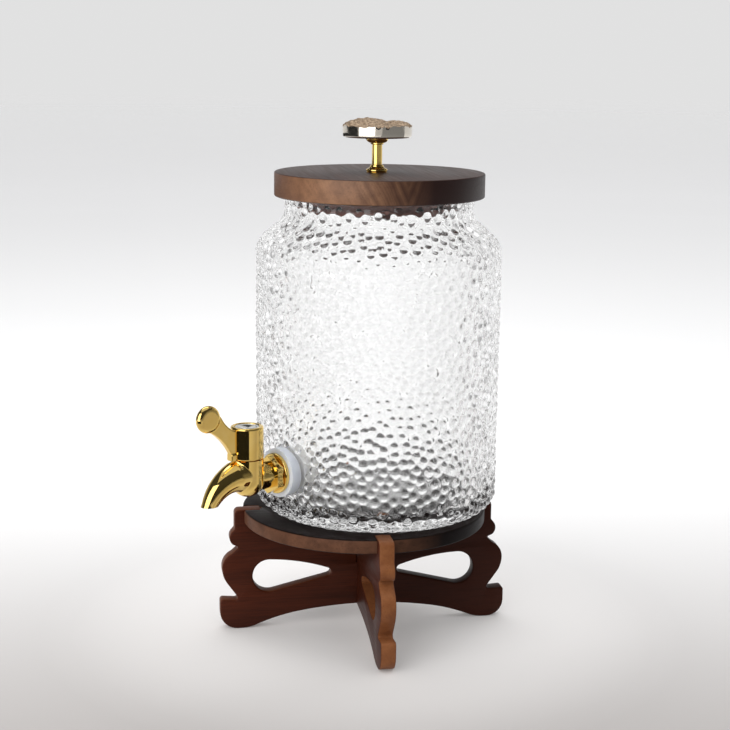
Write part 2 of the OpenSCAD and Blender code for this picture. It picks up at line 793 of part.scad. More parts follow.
module tap_handle() {
    // Radius at which the round end's full edge begins
    flat_r = lever_end_r - lever_end_t / 2;
    drive_hole = drive_s + 2 * thread_clear;
    color(gold) at_barrel() {
        difference() {
            union() {
                cap();
                rotate([90, 0, 0]) translate([0, 0, -lever_t / 2]) linear_extrude(lever_t) lever_outline();
                intersection() {
                    translate([0, 0, cap_low_z]) cylinder(r = lug_reach, h = lug_h);
                    translate([barrel_r - cap_wall / 2, -lug_w / 2, 0]) cube([lug_reach, lug_w, cap_top_z]);
                }
            }
            translate([-drive_hole / 2, -drive_hole / 2, hollow_z - over])
                cube([drive_hole, drive_hole, web_t + 2 * over]);
        }
        // Round end of the lever, a flat disc with a full edge
        translate([lever_reach, 0, split_z + lever_rise]) rotate([90, 0, 0]) rotate_extrude() polygon(concat(
            [[0, -lever_end_t / 2]],
            arc([flat_r, 0], lever_end_r - flat_r, -90, 90, 2 * steps),
            [[0, lever_end_t / 2]]));
    }
}

module handle_screw() {
    color(steel) at_barrel() difference() {
        union() {
            translate([0, 0, web_z]) cylinder(d = handle_screw_head_d, h = handle_screw_head_h);
            translate([0, 0, web_z - handle_screw_bite])
                cylinder(d = handle_screw_d, h = handle_screw_bite + over);
        }
        // Slot for a screwdriver
        translate([-barrel_r, -screw_slot / 2, web_z + handle_screw_head_h - screw_slot])
            cube([barrel_d, screw_slot, barrel_d]);
    }
}

module handle_button() {
    dish = 0.3;
    color(silver) at_barrel() translate([0, 0, button_z]) rotate_extrude() polygon(concat(
        [[0, 0], [button_r, 0], [button_r, button_t - dish]],
        bow([button_r - dish, button_t], [0, button_t - dish], -dish / 2)));
}

// Lid

module lid() {
    color(walnut) difference() {
        on_jar() translate([0, 0, rim_z]) rotate_extrude() polygon(concat(
            [[0, -step_h], [step_r - step_chamfer, -step_h], [step_r, step_chamfer - step_h],
             [step_r, seal_z - rim_z], [seal_in_r, seal_z - rim_z],
             [seal_in_r, seal_z + seal_h - rim_z], [step_r, seal_z + seal_h - rim_z], [step_r, 0]],
            arc([lid_r - lid_edge_r, lid_edge_r], lid_edge_r, -90, 0, 4),
            arc([lid_r - lid_edge_r, lid_t - lid_edge_r], lid_edge_r, 0, 90, 4),
            [[0, lid_t]]));
        at_knob() translate([0, 0, step_z - over]) {
            cylinder(r = screw_hole_r, h = step_h + lid_t + 2 * over);
            cylinder(d = knob_washer_d + 2 * well_clear, h = screw_well_h + over);
        }
    }
}

module lid_seal() {
    bead = seal_h / 2;
    color(silicone) on_jar() translate([0, 0, seal_z]) rotate_extrude() polygon(concat(
        [[seal_in_r, 0]],
        arc([seal_out_r - bead, bead], bead, -90, 90, 2 * steps),
        [[seal_in_r, seal_h]]));
}

// Knob

module knob_post() {
    stem_r = stem_d / 2;
    foot_r0 = post_foot_d / 2;
    cup_r = cup_d / 2;
    // Thickness of the foot's and the cup's outer edges
    lip = 0.7;
    // Small step where the foot and the cup meet the stem
    bead = 0.9;
    // How much the foot's side bows in and the cup's side bows out
    foot_bow = 0.5;
    cup_bow = 0.8;
    cup_z = post_h - cup_h;
    color(gold) at_knob() translate([0, 0, lid_top_z]) difference() {
        union() {
            rotate_extrude() polygon(concat(
                [[0, 0], [foot_r0, 0]],
                bow([foot_r0, lip], [stem_r + bead, post_foot_h - bead / 2], foot_bow),
                [[stem_r, post_foot_h], [stem_r, cup_z]],
                bow([stem_r + bead, cup_z + bead / 2], [cup_r, post_h - lip], -cup_bow),
                [[cup_r, post_h], [0, post_h]]));
            translate([0, 0, post_h - over]) cylinder(d = spigot_d, h = spigot_l + over);
        }
        translate([0, 0, -over])
            cylinder(d = knob_screw_d + 2 * thread_clear, h = knob_screw_bite + 2 * over);
    }
}

// A low round mound on the knob, at share at of the head's radius, spreading over share spread
module mound(at, spread, h) {
    head_r = head_d / 2;
    base = head_r * spread;
    r = (base * base + h * h) / (2 * h);
    translate([at * head_r, 0, head_h + crust_h / 2 + h - r]) sphere(r = r);
}

module knob_head() {
    head_r = head_d / 2;
    edge = 1.2;
    low_r = head_r - head_taper;
    // Rise of the crust above the smooth side
    crust = crust_h / 2;
    color(champagne) at_knob() translate([0, 0, knob_z]) difference() {
        union() {
            rotate_extrude() polygon(concat(
                [[0, 0]],
                arc([low_r - edge, edge], edge, -90, 0, 4),
                [[head_r, head_h], [head_r - crust_h, head_h + crust], [0, head_h + crust]]));
            intersection() {
                union() {
                    mound(mound_at, mound_spread, mound_h - crust);
                    mound(mound_small_at, mound_small_spread, mound_small_h - crust);
                }
                translate([0, 0, head_h]) cylinder(r = head_r - crust_h - crust, h = head_d);
            }
        }
        translate([0, 0, -over])
            cylinder(d = spigot_d + 2 * thread_clear, h = spigot_l + over + well_clear);
    }
}

module knob_screw() {
    head_z = well_z - knob_washer_t - knob_screw_head_h;
    shank_l = lid_top_z + knob_screw_bite - head_z;
    // Cross recess for a screwdriver
    cross_l = 4.4;
    cross_w = 0.9;
    color(steel) at_knob() translate([0, 0, head_z]) difference() {
        union() {
            cylinder(d = knob_screw_head_d, h = knob_screw_head_h);
            cylinder(d = knob_screw_d, h = shank_l);
        }
        for (a = [0, 90]) rotate([0, 0, a])
            translate([-cross_l / 2, -cross_w / 2, -over]) cube([cross_l, cross_w, over + cross_w]);
    }
}

module knob_washer() {
    color(steel) at_knob() translate([0, 0, well_z - knob_washer_t]) difference() {
        cylinder(d = knob_washer_d, h = knob_washer_t);
        translate([0, 0, -over]) cylinder(r = screw_hole_r, h = knob_washer_t + 2 * over);
    }
}

stand_disc();
stand_board_x();
stand_board_y();
glass_jar();
outer_washer();
inner_washer();
backing_washer();
tail_nut();
tap_body();
gland_nut();
valve_plug();
plug_o_rings();
tap_handle();
handle_screw();
handle_button();
lid();
lid_seal();
knob_post();
knob_head();
knob_screw();
knob_washer();
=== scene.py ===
"""Looks of the glass beverage dispenser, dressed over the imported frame. Builders work in millimetres."""
import json
import math
import random
from itertools import product

import bmesh
import bpy
import numpy as np
from mathutils import Matrix, Vector, kdtree, noise


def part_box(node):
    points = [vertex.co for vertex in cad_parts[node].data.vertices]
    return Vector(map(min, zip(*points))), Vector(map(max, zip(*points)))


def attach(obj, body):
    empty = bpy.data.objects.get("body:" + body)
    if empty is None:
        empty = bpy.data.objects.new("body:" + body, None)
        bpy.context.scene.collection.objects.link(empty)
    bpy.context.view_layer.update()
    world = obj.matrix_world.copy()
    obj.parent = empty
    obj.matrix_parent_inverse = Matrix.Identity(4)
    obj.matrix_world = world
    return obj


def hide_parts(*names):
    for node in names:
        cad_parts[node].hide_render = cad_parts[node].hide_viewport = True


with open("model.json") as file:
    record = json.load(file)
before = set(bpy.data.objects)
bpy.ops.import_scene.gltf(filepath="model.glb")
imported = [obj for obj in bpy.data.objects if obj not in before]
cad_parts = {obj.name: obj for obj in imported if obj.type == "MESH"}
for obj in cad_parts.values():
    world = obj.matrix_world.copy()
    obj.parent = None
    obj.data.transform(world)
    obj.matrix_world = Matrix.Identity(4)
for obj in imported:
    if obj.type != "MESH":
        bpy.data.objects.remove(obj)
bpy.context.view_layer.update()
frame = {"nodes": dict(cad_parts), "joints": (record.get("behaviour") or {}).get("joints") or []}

MM = 0.001
QUARTER = math.radians(90)
# A smaller radius counts as a point on the axis
ON_AXIS = 1e-6


# Places and sizes that come from the frame

def node_box(node):
    """Lowest and highest corner of a CAD node in millimetres."""
    low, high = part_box(node)
    return low / MM, high / MM


jar_low, jar_high = node_box("glass_jar")
jar_mid = (jar_low + jar_high) / 2
jar_r = (jar_high.x - jar_low.x) / 2
seat_z, rim_z = jar_low.z, jar_high.z
hinge = next(j for j in frame["joints"] if j["name"] == "handle_turn")
barrel_at = Vector(hinge["pos_m"]) / MM
tail_z = barrel_at.z
tap_way = Vector((barrel_at.x - jar_mid.x, barrel_at.y - jar_mid.y))
tap_a = math.atan2(tap_way.y, tap_way.x)
barrel_x = tap_way.length
knob_low, knob_high = node_box("knob_head")
post_low, post_high = node_box("knob_post")
knob_mid = (post_low + post_high) / 2

AT_JAR = Matrix.Translation((jar_mid.x, jar_mid.y, 0))
AT_TAP = AT_JAR @ Matrix.Rotation(tap_a, 4, "Z")
AT_BARREL = AT_TAP @ Matrix.Translation((barrel_x, 0, 0))
AT_KNOB = Matrix.Translation((knob_mid.x, knob_mid.y, 0))
# A turned form that lies along the tap's axis instead of standing up
LYING = Matrix.Translation((0, 0, tail_z)) @ Matrix.Rotation(QUARTER, 4, "Y")


# Outlines

def arc(centre, r, a0, a1, n):
    """Points on an arc about centre from a0 to a1 degrees."""
    angles = np.radians(np.linspace(a0, a1, n + 1))
    return [(centre[0] + r * math.cos(a), centre[1] + r * math.sin(a)) for a in angles]


def bow(p, q, rise, n=24):
    """Points on a shallow curve from p to q that bows to the left of its chord."""
    p, q = np.array(p, float), np.array(q, float)
    d = q - p
    left = np.array((-d[1], d[0])) / np.linalg.norm(d)
    return [tuple(p + d * t + left * 4 * rise * t * (1 - t)) for t in np.linspace(0, 1, n + 1)]


def evenly(points, step):
    """The same outline with points about one step apart."""
    pts = np.array(points, float)
    run = np.concatenate(([0], np.cumsum(np.linalg.norm(np.diff(pts, axis=0), axis=1))))
    s = np.linspace(0, run[-1], max(2, round(run[-1] / step) + 1))
    return np.column_stack([np.interp(s, run, pts[:, k]) for k in (0, 1)])


def braced(profile, reach=0.3, long=2.0):
    """The profile with a point more near each end of its long straight runs, which keeps shading level."""
    points = [np.array(profile[0], float)]
    for p in profile[1:]:
        p, last = np.array(p, float), points[-1]
        run = np.linalg.norm(p - last)
        if run > long:
            step = (p - last) * reach / run
            points += [last + step, p - step]
        points.append(p)
    return [tuple(p.tolist()) for p in points]


def turns(steps):
    """The angles of equal steps once round."""
    return [2 * math.pi * i / steps for i in range(steps)]


def unit(x):
    """The number kept between 0 and 1."""
    return min(1.0, max(0.0, x))


# Meshes

# Points closer than WELD are one, faces within LEVEL degrees are one, edges of more than SHARP are sharp
WELD, LEVEL, SHARP = 0.002, 0.4, 40


def hoop(bm, r, z, steps):
    """Points once round Z, or a single one on the axis."""
    if r < ON_AXIS:
        return [bm.verts.new((0, 0, z))]
    return [bm.verts.new((r * math.cos(a), r * math.sin(a), z)) for a in turns(steps)]


def bridge(bm, low, high):
    """Faces between two rings of points, each of which may be a single one."""
    count = max(len(low), len(high))
    faces = []
    for i in range(count):
        j = (i + 1) % count
        quad = [low[i % len(low)], low[j % len(low)], high[j % len(high)], high[i % len(high)]]
        corners = list(dict.fromkeys(quad))
        if len(corners) > 2:
            faces.append(bm.faces.new(corners))
    return faces


def lathe(profile, steps=96):
    """A form turned about Z from points (radius, height)."""
    bm = bmesh.new()
    rings = [hoop(bm, r, z, steps) for r, z in braced(profile)]
    if len(rings[0]) > 1 and len(rings[-1]) > 1:
        rings.append(rings[0])
    for low, high in zip(rings, rings[1:]):
        bridge(bm, low, high)
    bmesh.ops.recalc_face_normals(bm, faces=bm.faces)
    return bm


def tube(inner, outer, low, high, steps=96):
    """A plain tube along Z, or a rod where its inner radius is nothing."""
    return lathe([(inner, low), (outer, low), (outer, high), (inner, high)], steps)


def plate(outline, thick):
    """A flat plate in the plane of X and Z, with its thickness along Y."""
    bm = bmesh.new()
    face = bm.faces.new([bm.verts.new((x, -thick / 2, z)) for x, z in outline])
    made = bmesh.ops.extrude_face_region(bm, geom=[face])["geom"]
    verts = [v for v in made if isinstance(v, bmesh.types.BMVert)]
    bmesh.ops.translate(bm, verts=verts, vec=(0, thick, 0))
    bmesh.ops.recalc_face_normals(bm, faces=bm.faces)
    return bm


def mesh_of(bm, name):
    """A mesh of the bmesh's shape. The bmesh itself is let go."""
    mesh = bpy.data.meshes.new(name)
    bm.to_mesh(mesh)
    bm.free()
    return mesh


def linked(name, data):
    """A new object in the scene."""
    obj = bpy.data.objects.new(name, data)
    bpy.context.scene.collection.objects.link(obj)
    return obj


def joined(*parts):
    """One bmesh with all the parts in it."""
    whole = bmesh.new()
    for part in parts:
        mesh = mesh_of(part, "part")
        whole.from_mesh(mesh)
        bpy.data.meshes.remove(mesh)
    return whole


def modified(bm, kind, **settings):
    """The bmesh after one modifier of Blender's."""
    mesh = mesh_of(bm, "work")
    work = linked("work", mesh)
    mod = work.modifiers.new("mod", kind)
    for key, value in settings.items():
        setattr(mod, key, value)
    bpy.context.view_layer.update()
    result = bmesh.new()
    result.from_object(work, bpy.context.evaluated_depsgraph_get())
    bpy.data.objects.remove(work)
    bpy.data.meshes.remove(mesh)
    return result


def cut(bm, tool):
    """The bmesh with the tool's solid taken out."""
    mesh = mesh_of(tool, "tool")
    cutter = linked("tool", mesh)
    result = modified(bm, "BOOLEAN", operation="DIFFERENCE", solver="MANIFOLD", object=cutter)
    bpy.data.objects.remove(cutter)
    bpy.data.meshes.remove(mesh)
    return result


def cast(bm, voxel, rounds):
    """The overlapping solids run together and softened, as in a casting."""
    whole = modified(bm, "REMESH", mode="VOXEL", voxel_size=voxel)
    for _ in range(rounds):
        bmesh.ops.smooth_vert(whole, verts=whole.verts, factor=0.5, use_axis_x=True, use_axis_y=True,
                              use_axis_z=True)
    return whole


def sliced(bm, height, keep_below):
    """The bmesh cut off level at a height, with the cut closed."""
    geom = bm.verts[:] + bm.edges[:] + bm.faces[:]
    found = bmesh.ops.bisect_plane(bm, geom=geom, plane_co=(0, 0, height), plane_no=(0, 0, 1),
                                   clear_outer=keep_below, clear_inner=not keep_below)
    edges = [e for e in found["geom_cut"] if isinstance(e, bmesh.types.BMEdge)]
    bmesh.ops.holes_fill(bm, edges=edges, sides=0)
    return bm


def cad_copy(node):
    """A CAD node's shape as a clean bmesh, its flat faces whole."""
    bm = bmesh.new()
    bm.from_mesh(frame["nodes"][node].data)
    bm.transform(Matrix.Scale(1 / MM, 4))
    bmesh.ops.remove_doubles(bm, verts=bm.verts, dist=WELD)
    bmesh.ops.dissolve_limit(bm, angle_limit=math.radians(LEVEL), verts=bm.verts, edges=bm.edges)
    return bm


def eased(bm, width, chosen, segments=3):
    """The bmesh with the chosen sharp edges rounded."""
    edges = [e for e in bm.edges if len(e.link_faces) == 2
             and e.calc_face_angle(0) > math.radians(SHARP) and chosen(e)]
    bmesh.ops.bevel(bm, geom=edges, offset=width, offset_type="OFFSET", segments=segments, profile=0.5,
                    affect="EDGES", clamp_overlap=True)
    return bm


def any_edge(edge):
    return True


def piece(name, bm, body, nodes, materials, place=Matrix.Identity(4), sharp=32):
    """A finished object from a bmesh in millimetres, riding on a body in place of CAD nodes."""
    bm.transform(Matrix.Scale(MM, 4) @ place)
    mesh = mesh_of(bm, name)
    for material in materials:
        mesh.materials.append(material)
    mesh.shade_smooth()
    mesh.set_sharp_from_angle(angle=math.radians(sharp))
    obj = linked(name, mesh)
    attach(obj, body)
    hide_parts(*nodes)
    return obj


# Materials

def rgb(r, g, b):
    return (r, g, b, 1.0)


def grey(level):
    return rgb(level, level, level)


class Nodes:
    """A node tree under construction, with short ways to add and join its nodes."""

    def __init__(self, tree):
        self.tree = tree

    def set(self, socket, value):
        if isinstance(value, bpy.types.NodeSocket):
            self.tree.links.new(value, socket)
        else:
            socket.default_value = value

    def add(self, kind, inputs=None, **settings):
        made = self.tree.nodes.new(kind)
        for key, value in settings.items():
            setattr(made, key, value)
        for key, value in (inputs or {}).items():
            self.set(made.inputs[key], value)
        return made

    def place(self, scale=(1, 1, 1), move=(0, 0, 0), turn=(0, 0, 0)):
        """Coordinates of the whole object in metres, moved, turned and stretched."""
        coords = self.add("ShaderNodeTexCoord").outputs["Object"]
        mapped = self.add("ShaderNodeMapping", {"Vector": coords, "Location": move, "Scale": scale,
                                                "Rotation": turn})
        return mapped.outputs["Vector"]

    def along(self, axis, **placing):
        """Place along one axis in metres."""
        return self.add("ShaderNodeSeparateXYZ", {"Vector": self.place(**placing)}).outputs[axis]

    def noise(self, scale, detail, rough=0.55, over=None):
        """Noise over the given coordinates, or else over the object's own."""
        vector = self.place() if over is None else over
        made = self.add("ShaderNodeTexNoise", {"Vector": vector, "Scale": scale, "Detail": detail,
                                               "Roughness": rough})
        return made.outputs["Fac"]

    def ramp(self, value, low, high, to_low=0.0, to_high=1.0):
        made = self.add("ShaderNodeMapRange", {"Value": value, "From Min": low, "From Max": high,
                                               "To Min": to_low, "To Max": to_high})
        return made.outputs["Result"]

    def levels(self, value, stops):
        """Grey levels along a value from 0 to 1, as pairs of place and level."""
        made = self.add("ShaderNodeValToRGB", {"Fac": value})
        while len(made.color_ramp.elements) < len(stops):
            made.color_ramp.elements.new(0.5)
        for element, (at, level) in zip(made.color_ramp.elements, stops):
            element.position = at
            element.color = grey(level)
        return made.outputs["Color"]

    def mix(self, share, a, b):
        """A colour between two others."""
        made = self.add("ShaderNodeMix", data_type="RGBA")
        for key, value in (("Factor", share), ("A", a), ("B", b)):
            wanted = "VALUE" if key == "Factor" else "RGBA"
            self.set(next(s for s in made.inputs if s.name == key and s.type == wanted), value)
        return next(s for s in made.outputs if s.type == "RGBA")

    def math(self, operation, a, b=0.0):
        return self.add("ShaderNodeMath", {0: a, 1: b}, operation=operation).outputs[0]


class Shader(Nodes):
    """A material under construction."""

    def __init__(self, name, **sockets):
        self.material = bpy.data.materials.new(name)
        self.material.use_nodes = True
        super().__init__(self.material.node_tree)
        self.bsdf = self.tree.nodes["Principled BSDF"]
        for key, value in sockets.items():
            self.bsdf.inputs[key.replace("_", " ")].default_value = value

    def feed(self, name, value):
        self.tree.links.new(value, self.bsdf.inputs[name])

    def tint(self, value, low, high, one, other):
        """Base colour from one to the other as a value goes from low to high."""
        self.feed("Base Color", self.mix(self.ramp(value, low, high), rgb(*one), rgb(*other)))

    def bump(self, height, strength, distance):
        made = self.add("ShaderNodeBump", {"Height": height, "Strength": strength, "Distance": distance})
        self.feed("Normal", made.outputs["Normal"])


# Fibres in wood: how often they repeat in a metre along the grain and across it, and their detail
FINE_FIBRE, PORE_FIBRE, CLOUD_FIBRE = (22, 1100, 3.0), (60, 2600, 1.0), (9, 70, 3.0)
CLOUDY, FIBROUS = 0.7, 0.3
PORE_SHARE, PORE_TONE, PORE_DEPTH = 0.4, 0.35, 0.8
# Rings in Vs: where they fade, in metres from their middle, and how strongly they show there
VS_SPAN, VS_SHARE = (0.012, 0.040), (0.8, 0.2)
# Stain before the first of two places, and the height over which the painted light below a level begins
REDDENED, PAINTED_LIGHT_EDGE = 0.7, 0.3


def chevrons(s, middle):
    """Growth rings that meet in a row of steep Vs at one place along X."""
    steep, fine = 2.0, 95
    wander = s.math("MULTIPLY", s.noise(scale=30, detail=2.0), 0.016)
    aside = s.math("ABSOLUTE", s.along("X", move=(-middle * MM, 0, 0)))
    lean = s.math("SUBTRACT", s.along("Z"), s.math("MULTIPLY", aside, steep))
    across = s.add("ShaderNodeCombineXYZ", {"X": s.math("ADD", lean, wander)}).outputs["Vector"]
    return s.ramp(s.noise(fine, 3.0, 0.6, over=across), 0.40, 0.64)


def wood(name, dark, light, rim, along, flat, shine, vs_at=None, painted_shade=None, faces=0.0, redden=None,
         below=None):
    """Stained wood with fine fibres and pores along one axis, and warmer cut edges round its flat faces.
    The edges can show rings in a row of Vs, painted shade that darkens them between two places along X, a
    stain that fades between two places along X, and painted light in a bright red-brown below a height. The
    faces take the painted shade with the edges by a share."""
    s = Shader(name, Specular_IOR_Level=shine, IOR=1.46)
    lie = "XYZ".index(along)

    def fibres(lengthwise, across, detail):
        scale = tuple(lengthwise if k == lie else across for k in range(3))
        return s.noise(1.0, detail, over=s.place(scale=scale))

    def between(places, start=0.0, end=1.0):
        return s.ramp(s.along("X"), places[0] * MM, places[1] * MM, start, end)

    fine, pore, cloud = (fibres(*kind) for kind in (FINE_FIBRE, PORE_FIBRE, CLOUD_FIBRE))
    share = s.math("ADD", s.ramp(cloud, 0.25, 0.75, 0.0, CLOUDY), s.ramp(fine, 0.3, 0.7, 0.0, FIBROUS))
    body = s.mix(share, rgb(*dark), rgb(*light))
    facing = s.add("ShaderNodeSeparateXYZ", {"Vector": s.add("ShaderNodeNewGeometry").outputs["Normal"]})
    edge = s.ramp(s.math("ABSOLUTE", facing.outputs[flat]), 0.35, 0.75, 1.0, 0.0)
    cut_grain = s.noise(scale=130, detail=5.0, rough=0.62)
    cut_wood = s.mix(s.ramp(cut_grain, 0.35, 0.65, 0.0, 0.4), rgb(*rim), rgb(*light))
    if vs_at is not None:
        aside = s.math("ABSOLUTE", s.math("SUBTRACT", s.along("X"), vs_at * MM))
        near = s.ramp(aside, *VS_SPAN, *VS_SHARE)
        cut_wood = s.mix(s.math("MULTIPLY", chevrons(s, vs_at), near), cut_wood, rgb(*light))
    # Painted shade: between two places along X the cut edges darken, and the faces too by a share
    if painted_shade:
        deep = between(painted_shade)
        cut_wood = s.mix(deep, cut_wood, rgb(*dark))
        body = s.mix(s.math("MULTIPLY", deep, faces), body, rgb(*dark))
    if redden:
        cut_wood = s.mix(between(redden, REDDENED, 0.0), cut_wood, rgb(*light))
    # Painted light: below the level the cut edges take a bright red-brown, which lifts the shade in the
    # jar's neck
    if below:
        level, stain = below
        under = s.ramp(s.along("Z"), (level - PAINTED_LIGHT_EDGE) * MM, level * MM, 1.0, 0.0)
        cut_wood = s.mix(under, cut_wood, rgb(*stain))
    body = s.mix(edge, body, cut_wood)
    pores = s.ramp(pore, 0.58, 0.70)
    in_pore = rgb(*(c * PORE_TONE for c in dark))
    s.feed("Base Color", s.mix(s.math("MULTIPLY", pores, PORE_SHARE), body, in_pore))
    s.feed("Roughness", s.ramp(fine, 0.2, 0.8, 0.34, 0.50))
    s.bump(s.math("SUBTRACT", fine, s.math("MULTIPLY", pores, PORE_DEPTH)), strength=0.15, distance=0.0002)
    return s.material


def polished(name, color, rough, wave, tint=None):
    """Polished plating: a slightly uneven mirror with faint wipe marks."""
    wiped, rougher = (300, 300, 2400), 0.06
    s = Shader(name, Metallic=1.0)
    s.tint(s.noise(scale=160, detail=3.0), 0.35, 0.7, color, tint or color)
    wipe = s.noise(1.0, 3.0, over=s.place(scale=wiped))
    s.feed("Roughness", s.ramp(wipe, 0.3, 0.75, rough, rough + rougher))
    s.bump(s.noise(scale=95, detail=2.0), wave, distance=0.0004)
    return s.material


def clear_glass():
    """Clear glass with slight streaks left by the mould."""
    streaked = (60, 60, 14)
    s = Shader("clear_glass", Base_Color=rgb(0.998, 1.0, 0.999), Transmission_Weight=1.0, IOR=1.47,
               Specular_IOR_Level=0.5)
    s.feed("Roughness", s.ramp(s.noise(1.0, 3.0, over=s.place(scale=streaked)), 0.45, 0.8, 0.0, 0.05))
    s.bump(s.noise(scale=320, detail=2.0), strength=0.05, distance=0.0004)
    return s.material


def silicone(name, dull, pale):
    """Milky translucent rubber with a dusty surface."""
    s = Shader(name, Transmission_Weight=0.1, IOR=1.41, Subsurface_Weight=0.5,
               Subsurface_Radius=(0.004, 0.004, 0.005), Subsurface_Scale=0.6)
    cloud = s.noise(scale=140, detail=4.0)
    s.tint(cloud, 0.3, 0.7, dull, pale)
    s.feed("Roughness", s.ramp(cloud, 0.3, 0.7, 0.38, 0.52))
    s.bump(s.noise(scale=1800, detail=2.0), strength=0.08, distance=0.0002)
    return s.material


def clear_silicone():
    """Nearly clear soft rubber."""
    s = Shader("clear_silicone", Base_Color=rgb(0.97, 0.97, 0.98), Transmission_Weight=1.0, IOR=1.06)
    s.feed("Roughness", s.ramp(s.noise(scale=140, detail=4.0), 0.3, 0.7, 0.02, 0.06))
    return s.material


def nylon():
    """Moulded white plastic."""
    s = Shader("white_plastic", Subsurface_Weight=0.3, IOR=1.5, Subsurface_Radius=(0.003, 0.003, 0.003),
               Subsurface_Scale=0.5)
    grit = s.noise(scale=900, detail=3.0)
    s.tint(grit, 0.0, 1.0, (0.90, 0.90, 0.87), (0.96, 0.96, 0.94))
    s.feed("Roughness", s.ramp(grit, 0.3, 0.7, 0.3, 0.45))
    s.bump(grit, strength=0.1, distance=0.0002)
    return s.material


def rubber():
    """Matte black rubber."""
    s = Shader("black_rubber")
    grit = s.noise(scale=2200, detail=3.0)
    s.tint(grit, 0.0, 1.0, (0.012, 0.012, 0.012), (0.035, 0.035, 0.035))
    s.feed("Roughness", s.ramp(grit, 0.3, 0.7, 0.5, 0.7))
    s.bump(grit, strength=0.2, distance=0.0002)
    return s.material


def crust_metal():
    """Golden-brown crumbled top of the knob, duller in its hollows."""
    gritty = 0.4
    s = Shader("crumbled_gold", Metallic=0.75)
    lumps = s.noise(scale=620, detail=5.0, rough=0.65)
    grit = s.noise(scale=2600, detail=3.0)
    s.tint(lumps, 0.35, 0.68, (0.17, 0.108, 0.064), (0.56, 0.42, 0.285))
    s.feed("Roughness", s.ramp(grit, 0.3, 0.7, 0.34, 0.6))
    s.bump(s.math("ADD", lumps, s.math("MULTIPLY", grit, gritty)), strength=0.7, distance=0.0005)
    return s.material


# Glass jar

WALL = 4.5
BASE_T = 8.0
CORNER_R, CORNER_IN_R = 12.5, 11.0
PUNT_H, STAND_RING = 2.5, 14.0
NECK_R, NECK_H, NECK_TURN_R = 60.0, 9.5, 7.0
SHOULDER_R, SHOULDER_A = 13.5, 49.0
RIM_R = 1.2
HOLE_R = 8.4
# Hammered cells: their size, the least gap between their middles, and the throws that strew them
CELL = 6.1
LEAST_GAP = 0.78 * CELL
THROWS, SEED = 40000, 11
# Pebbles: height over the valleys, unevenness, how sharply they meet, and how round they are
PEBBLE, UNEVEN, MEETING, ROUNDNESS = 1.45, 0.05, 70.0, 1.5
NEIGHBOURS, HALF_WAY, DEEPEST = 5, 0.25, 1.1
# The smooth ring round the tap, and where the marks fade: a start and a width above the seat, below the rim
SMOOTH_R, HAMMERED_R = 14.5, 17.0
SEAT_FADE, RIM_FADE = (0.2, 2.0), (0.3, 1.5)
SKIN_STEP, LINING_STEP = 0.75, 2.2
# Steps round the skin, and how many of them meet one of the lining
AROUND, FOLD = 680, 4


def jar_outlines():
    """Outer outline from under the base to the rim, and inner outline from the rim to the base."""
    top = rim_z - seat_z
    turn_z = top - NECK_H
    a = math.radians(SHOULDER_A)
    rounds = NECK_TURN_R + SHOULDER_R
    slope = (jar_r - NECK_R - rounds * (1 - math.cos(a))) / math.sin(a)
    shoulder_z = turn_z - rounds * math.sin(a) - slope * math.cos(a)
    turn_c = (NECK_R + NECK_TURN_R, turn_z)
    shoulder_c = (jar_r - SHOULDER_R, shoulder_z)
    in_r = jar_r - WALL
    ring_r = jar_r - CORNER_R
    ring_in = ring_r - STAND_RING
    outer = ([(0, PUNT_H)] + bow((ring_in - 4 * PUNT_H, PUNT_H), (ring_in, 0), PUNT_H / 8)
             + arc((ring_r, CORNER_R), CORNER_R, -90, 0, 16)
             + arc(shoulder_c, SHOULDER_R, 0, SHOULDER_A, 12)
             + arc(turn_c, NECK_TURN_R, 180 + SHOULDER_A, 180, 10)
             + arc((NECK_R - RIM_R, top - RIM_R), RIM_R, 0, 90, 5))
    inner = (arc((NECK_R - WALL + RIM_R, top - RIM_R), RIM_R, 90, 180, 5)
             + arc(turn_c, NECK_TURN_R + WALL, 180, 180 + SHOULDER_A, 10)
             + arc(shoulder_c, SHOULDER_R - WALL, SHOULDER_A, 0, 10)
             + arc((in_r - CORNER_IN_R, BASE_T + CORNER_IN_R), CORNER_IN_R, 0, -90, 12)
             + [(0, BASE_T)])
    return outer, inner


def hammer_marks(outer):
    """Middles of the hammered cells, strewn over the outside of the jar, and each cell's own size."""
    pick = random.Random(SEED)
    line = evenly(outer, CELL / 12)
    line = line[line[:, 0] >= jar_r - CORNER_R - STAND_RING]
    area = np.cumsum(line[:, 0])
    boxes, marks = {}, []
    for _ in range(THROWS):
        r, z = line[np.searchsorted(area, pick.uniform(0, area[-1]))].tolist()
        a = pick.uniform(0, 2 * math.pi)
        p = Vector((r * math.cos(a), r * math.sin(a), z))
        at = [math.floor(c / LEAST_GAP) for c in p]
        around = product(*[(c - 1, c, c + 1) for c in at])
        if all((p - q).length > LEAST_GAP for box in around for q in boxes.get(box, ())):
            boxes.setdefault(tuple(at), []).append(p)
            marks.append(p)
    tree = kdtree.KDTree(len(marks))
    for i, p in enumerate(marks):
        tree.insert(p, i)
    tree.balance()
    return tree, [pick.uniform(-UNEVEN, UNEVEN) for _ in marks]


def valley_depth(tree, sizes, p):
    """How deep the surface lies at p below the pebbles' tops, from the middles of the cells around it."""
    least = 1e-14
    found = tree.find_n(p, NEIGHBOURS)
    near = sum(math.exp(-MEETING * ((d / CELL) ** 2 + sizes[i])) for _, i, d in found)
    fall = -math.log(max(near, least)) / MEETING
    return PEBBLE * min(DEEPEST, max(0.0, (fall + UNEVEN) / HALF_WAY)) ** ROUNDNESS


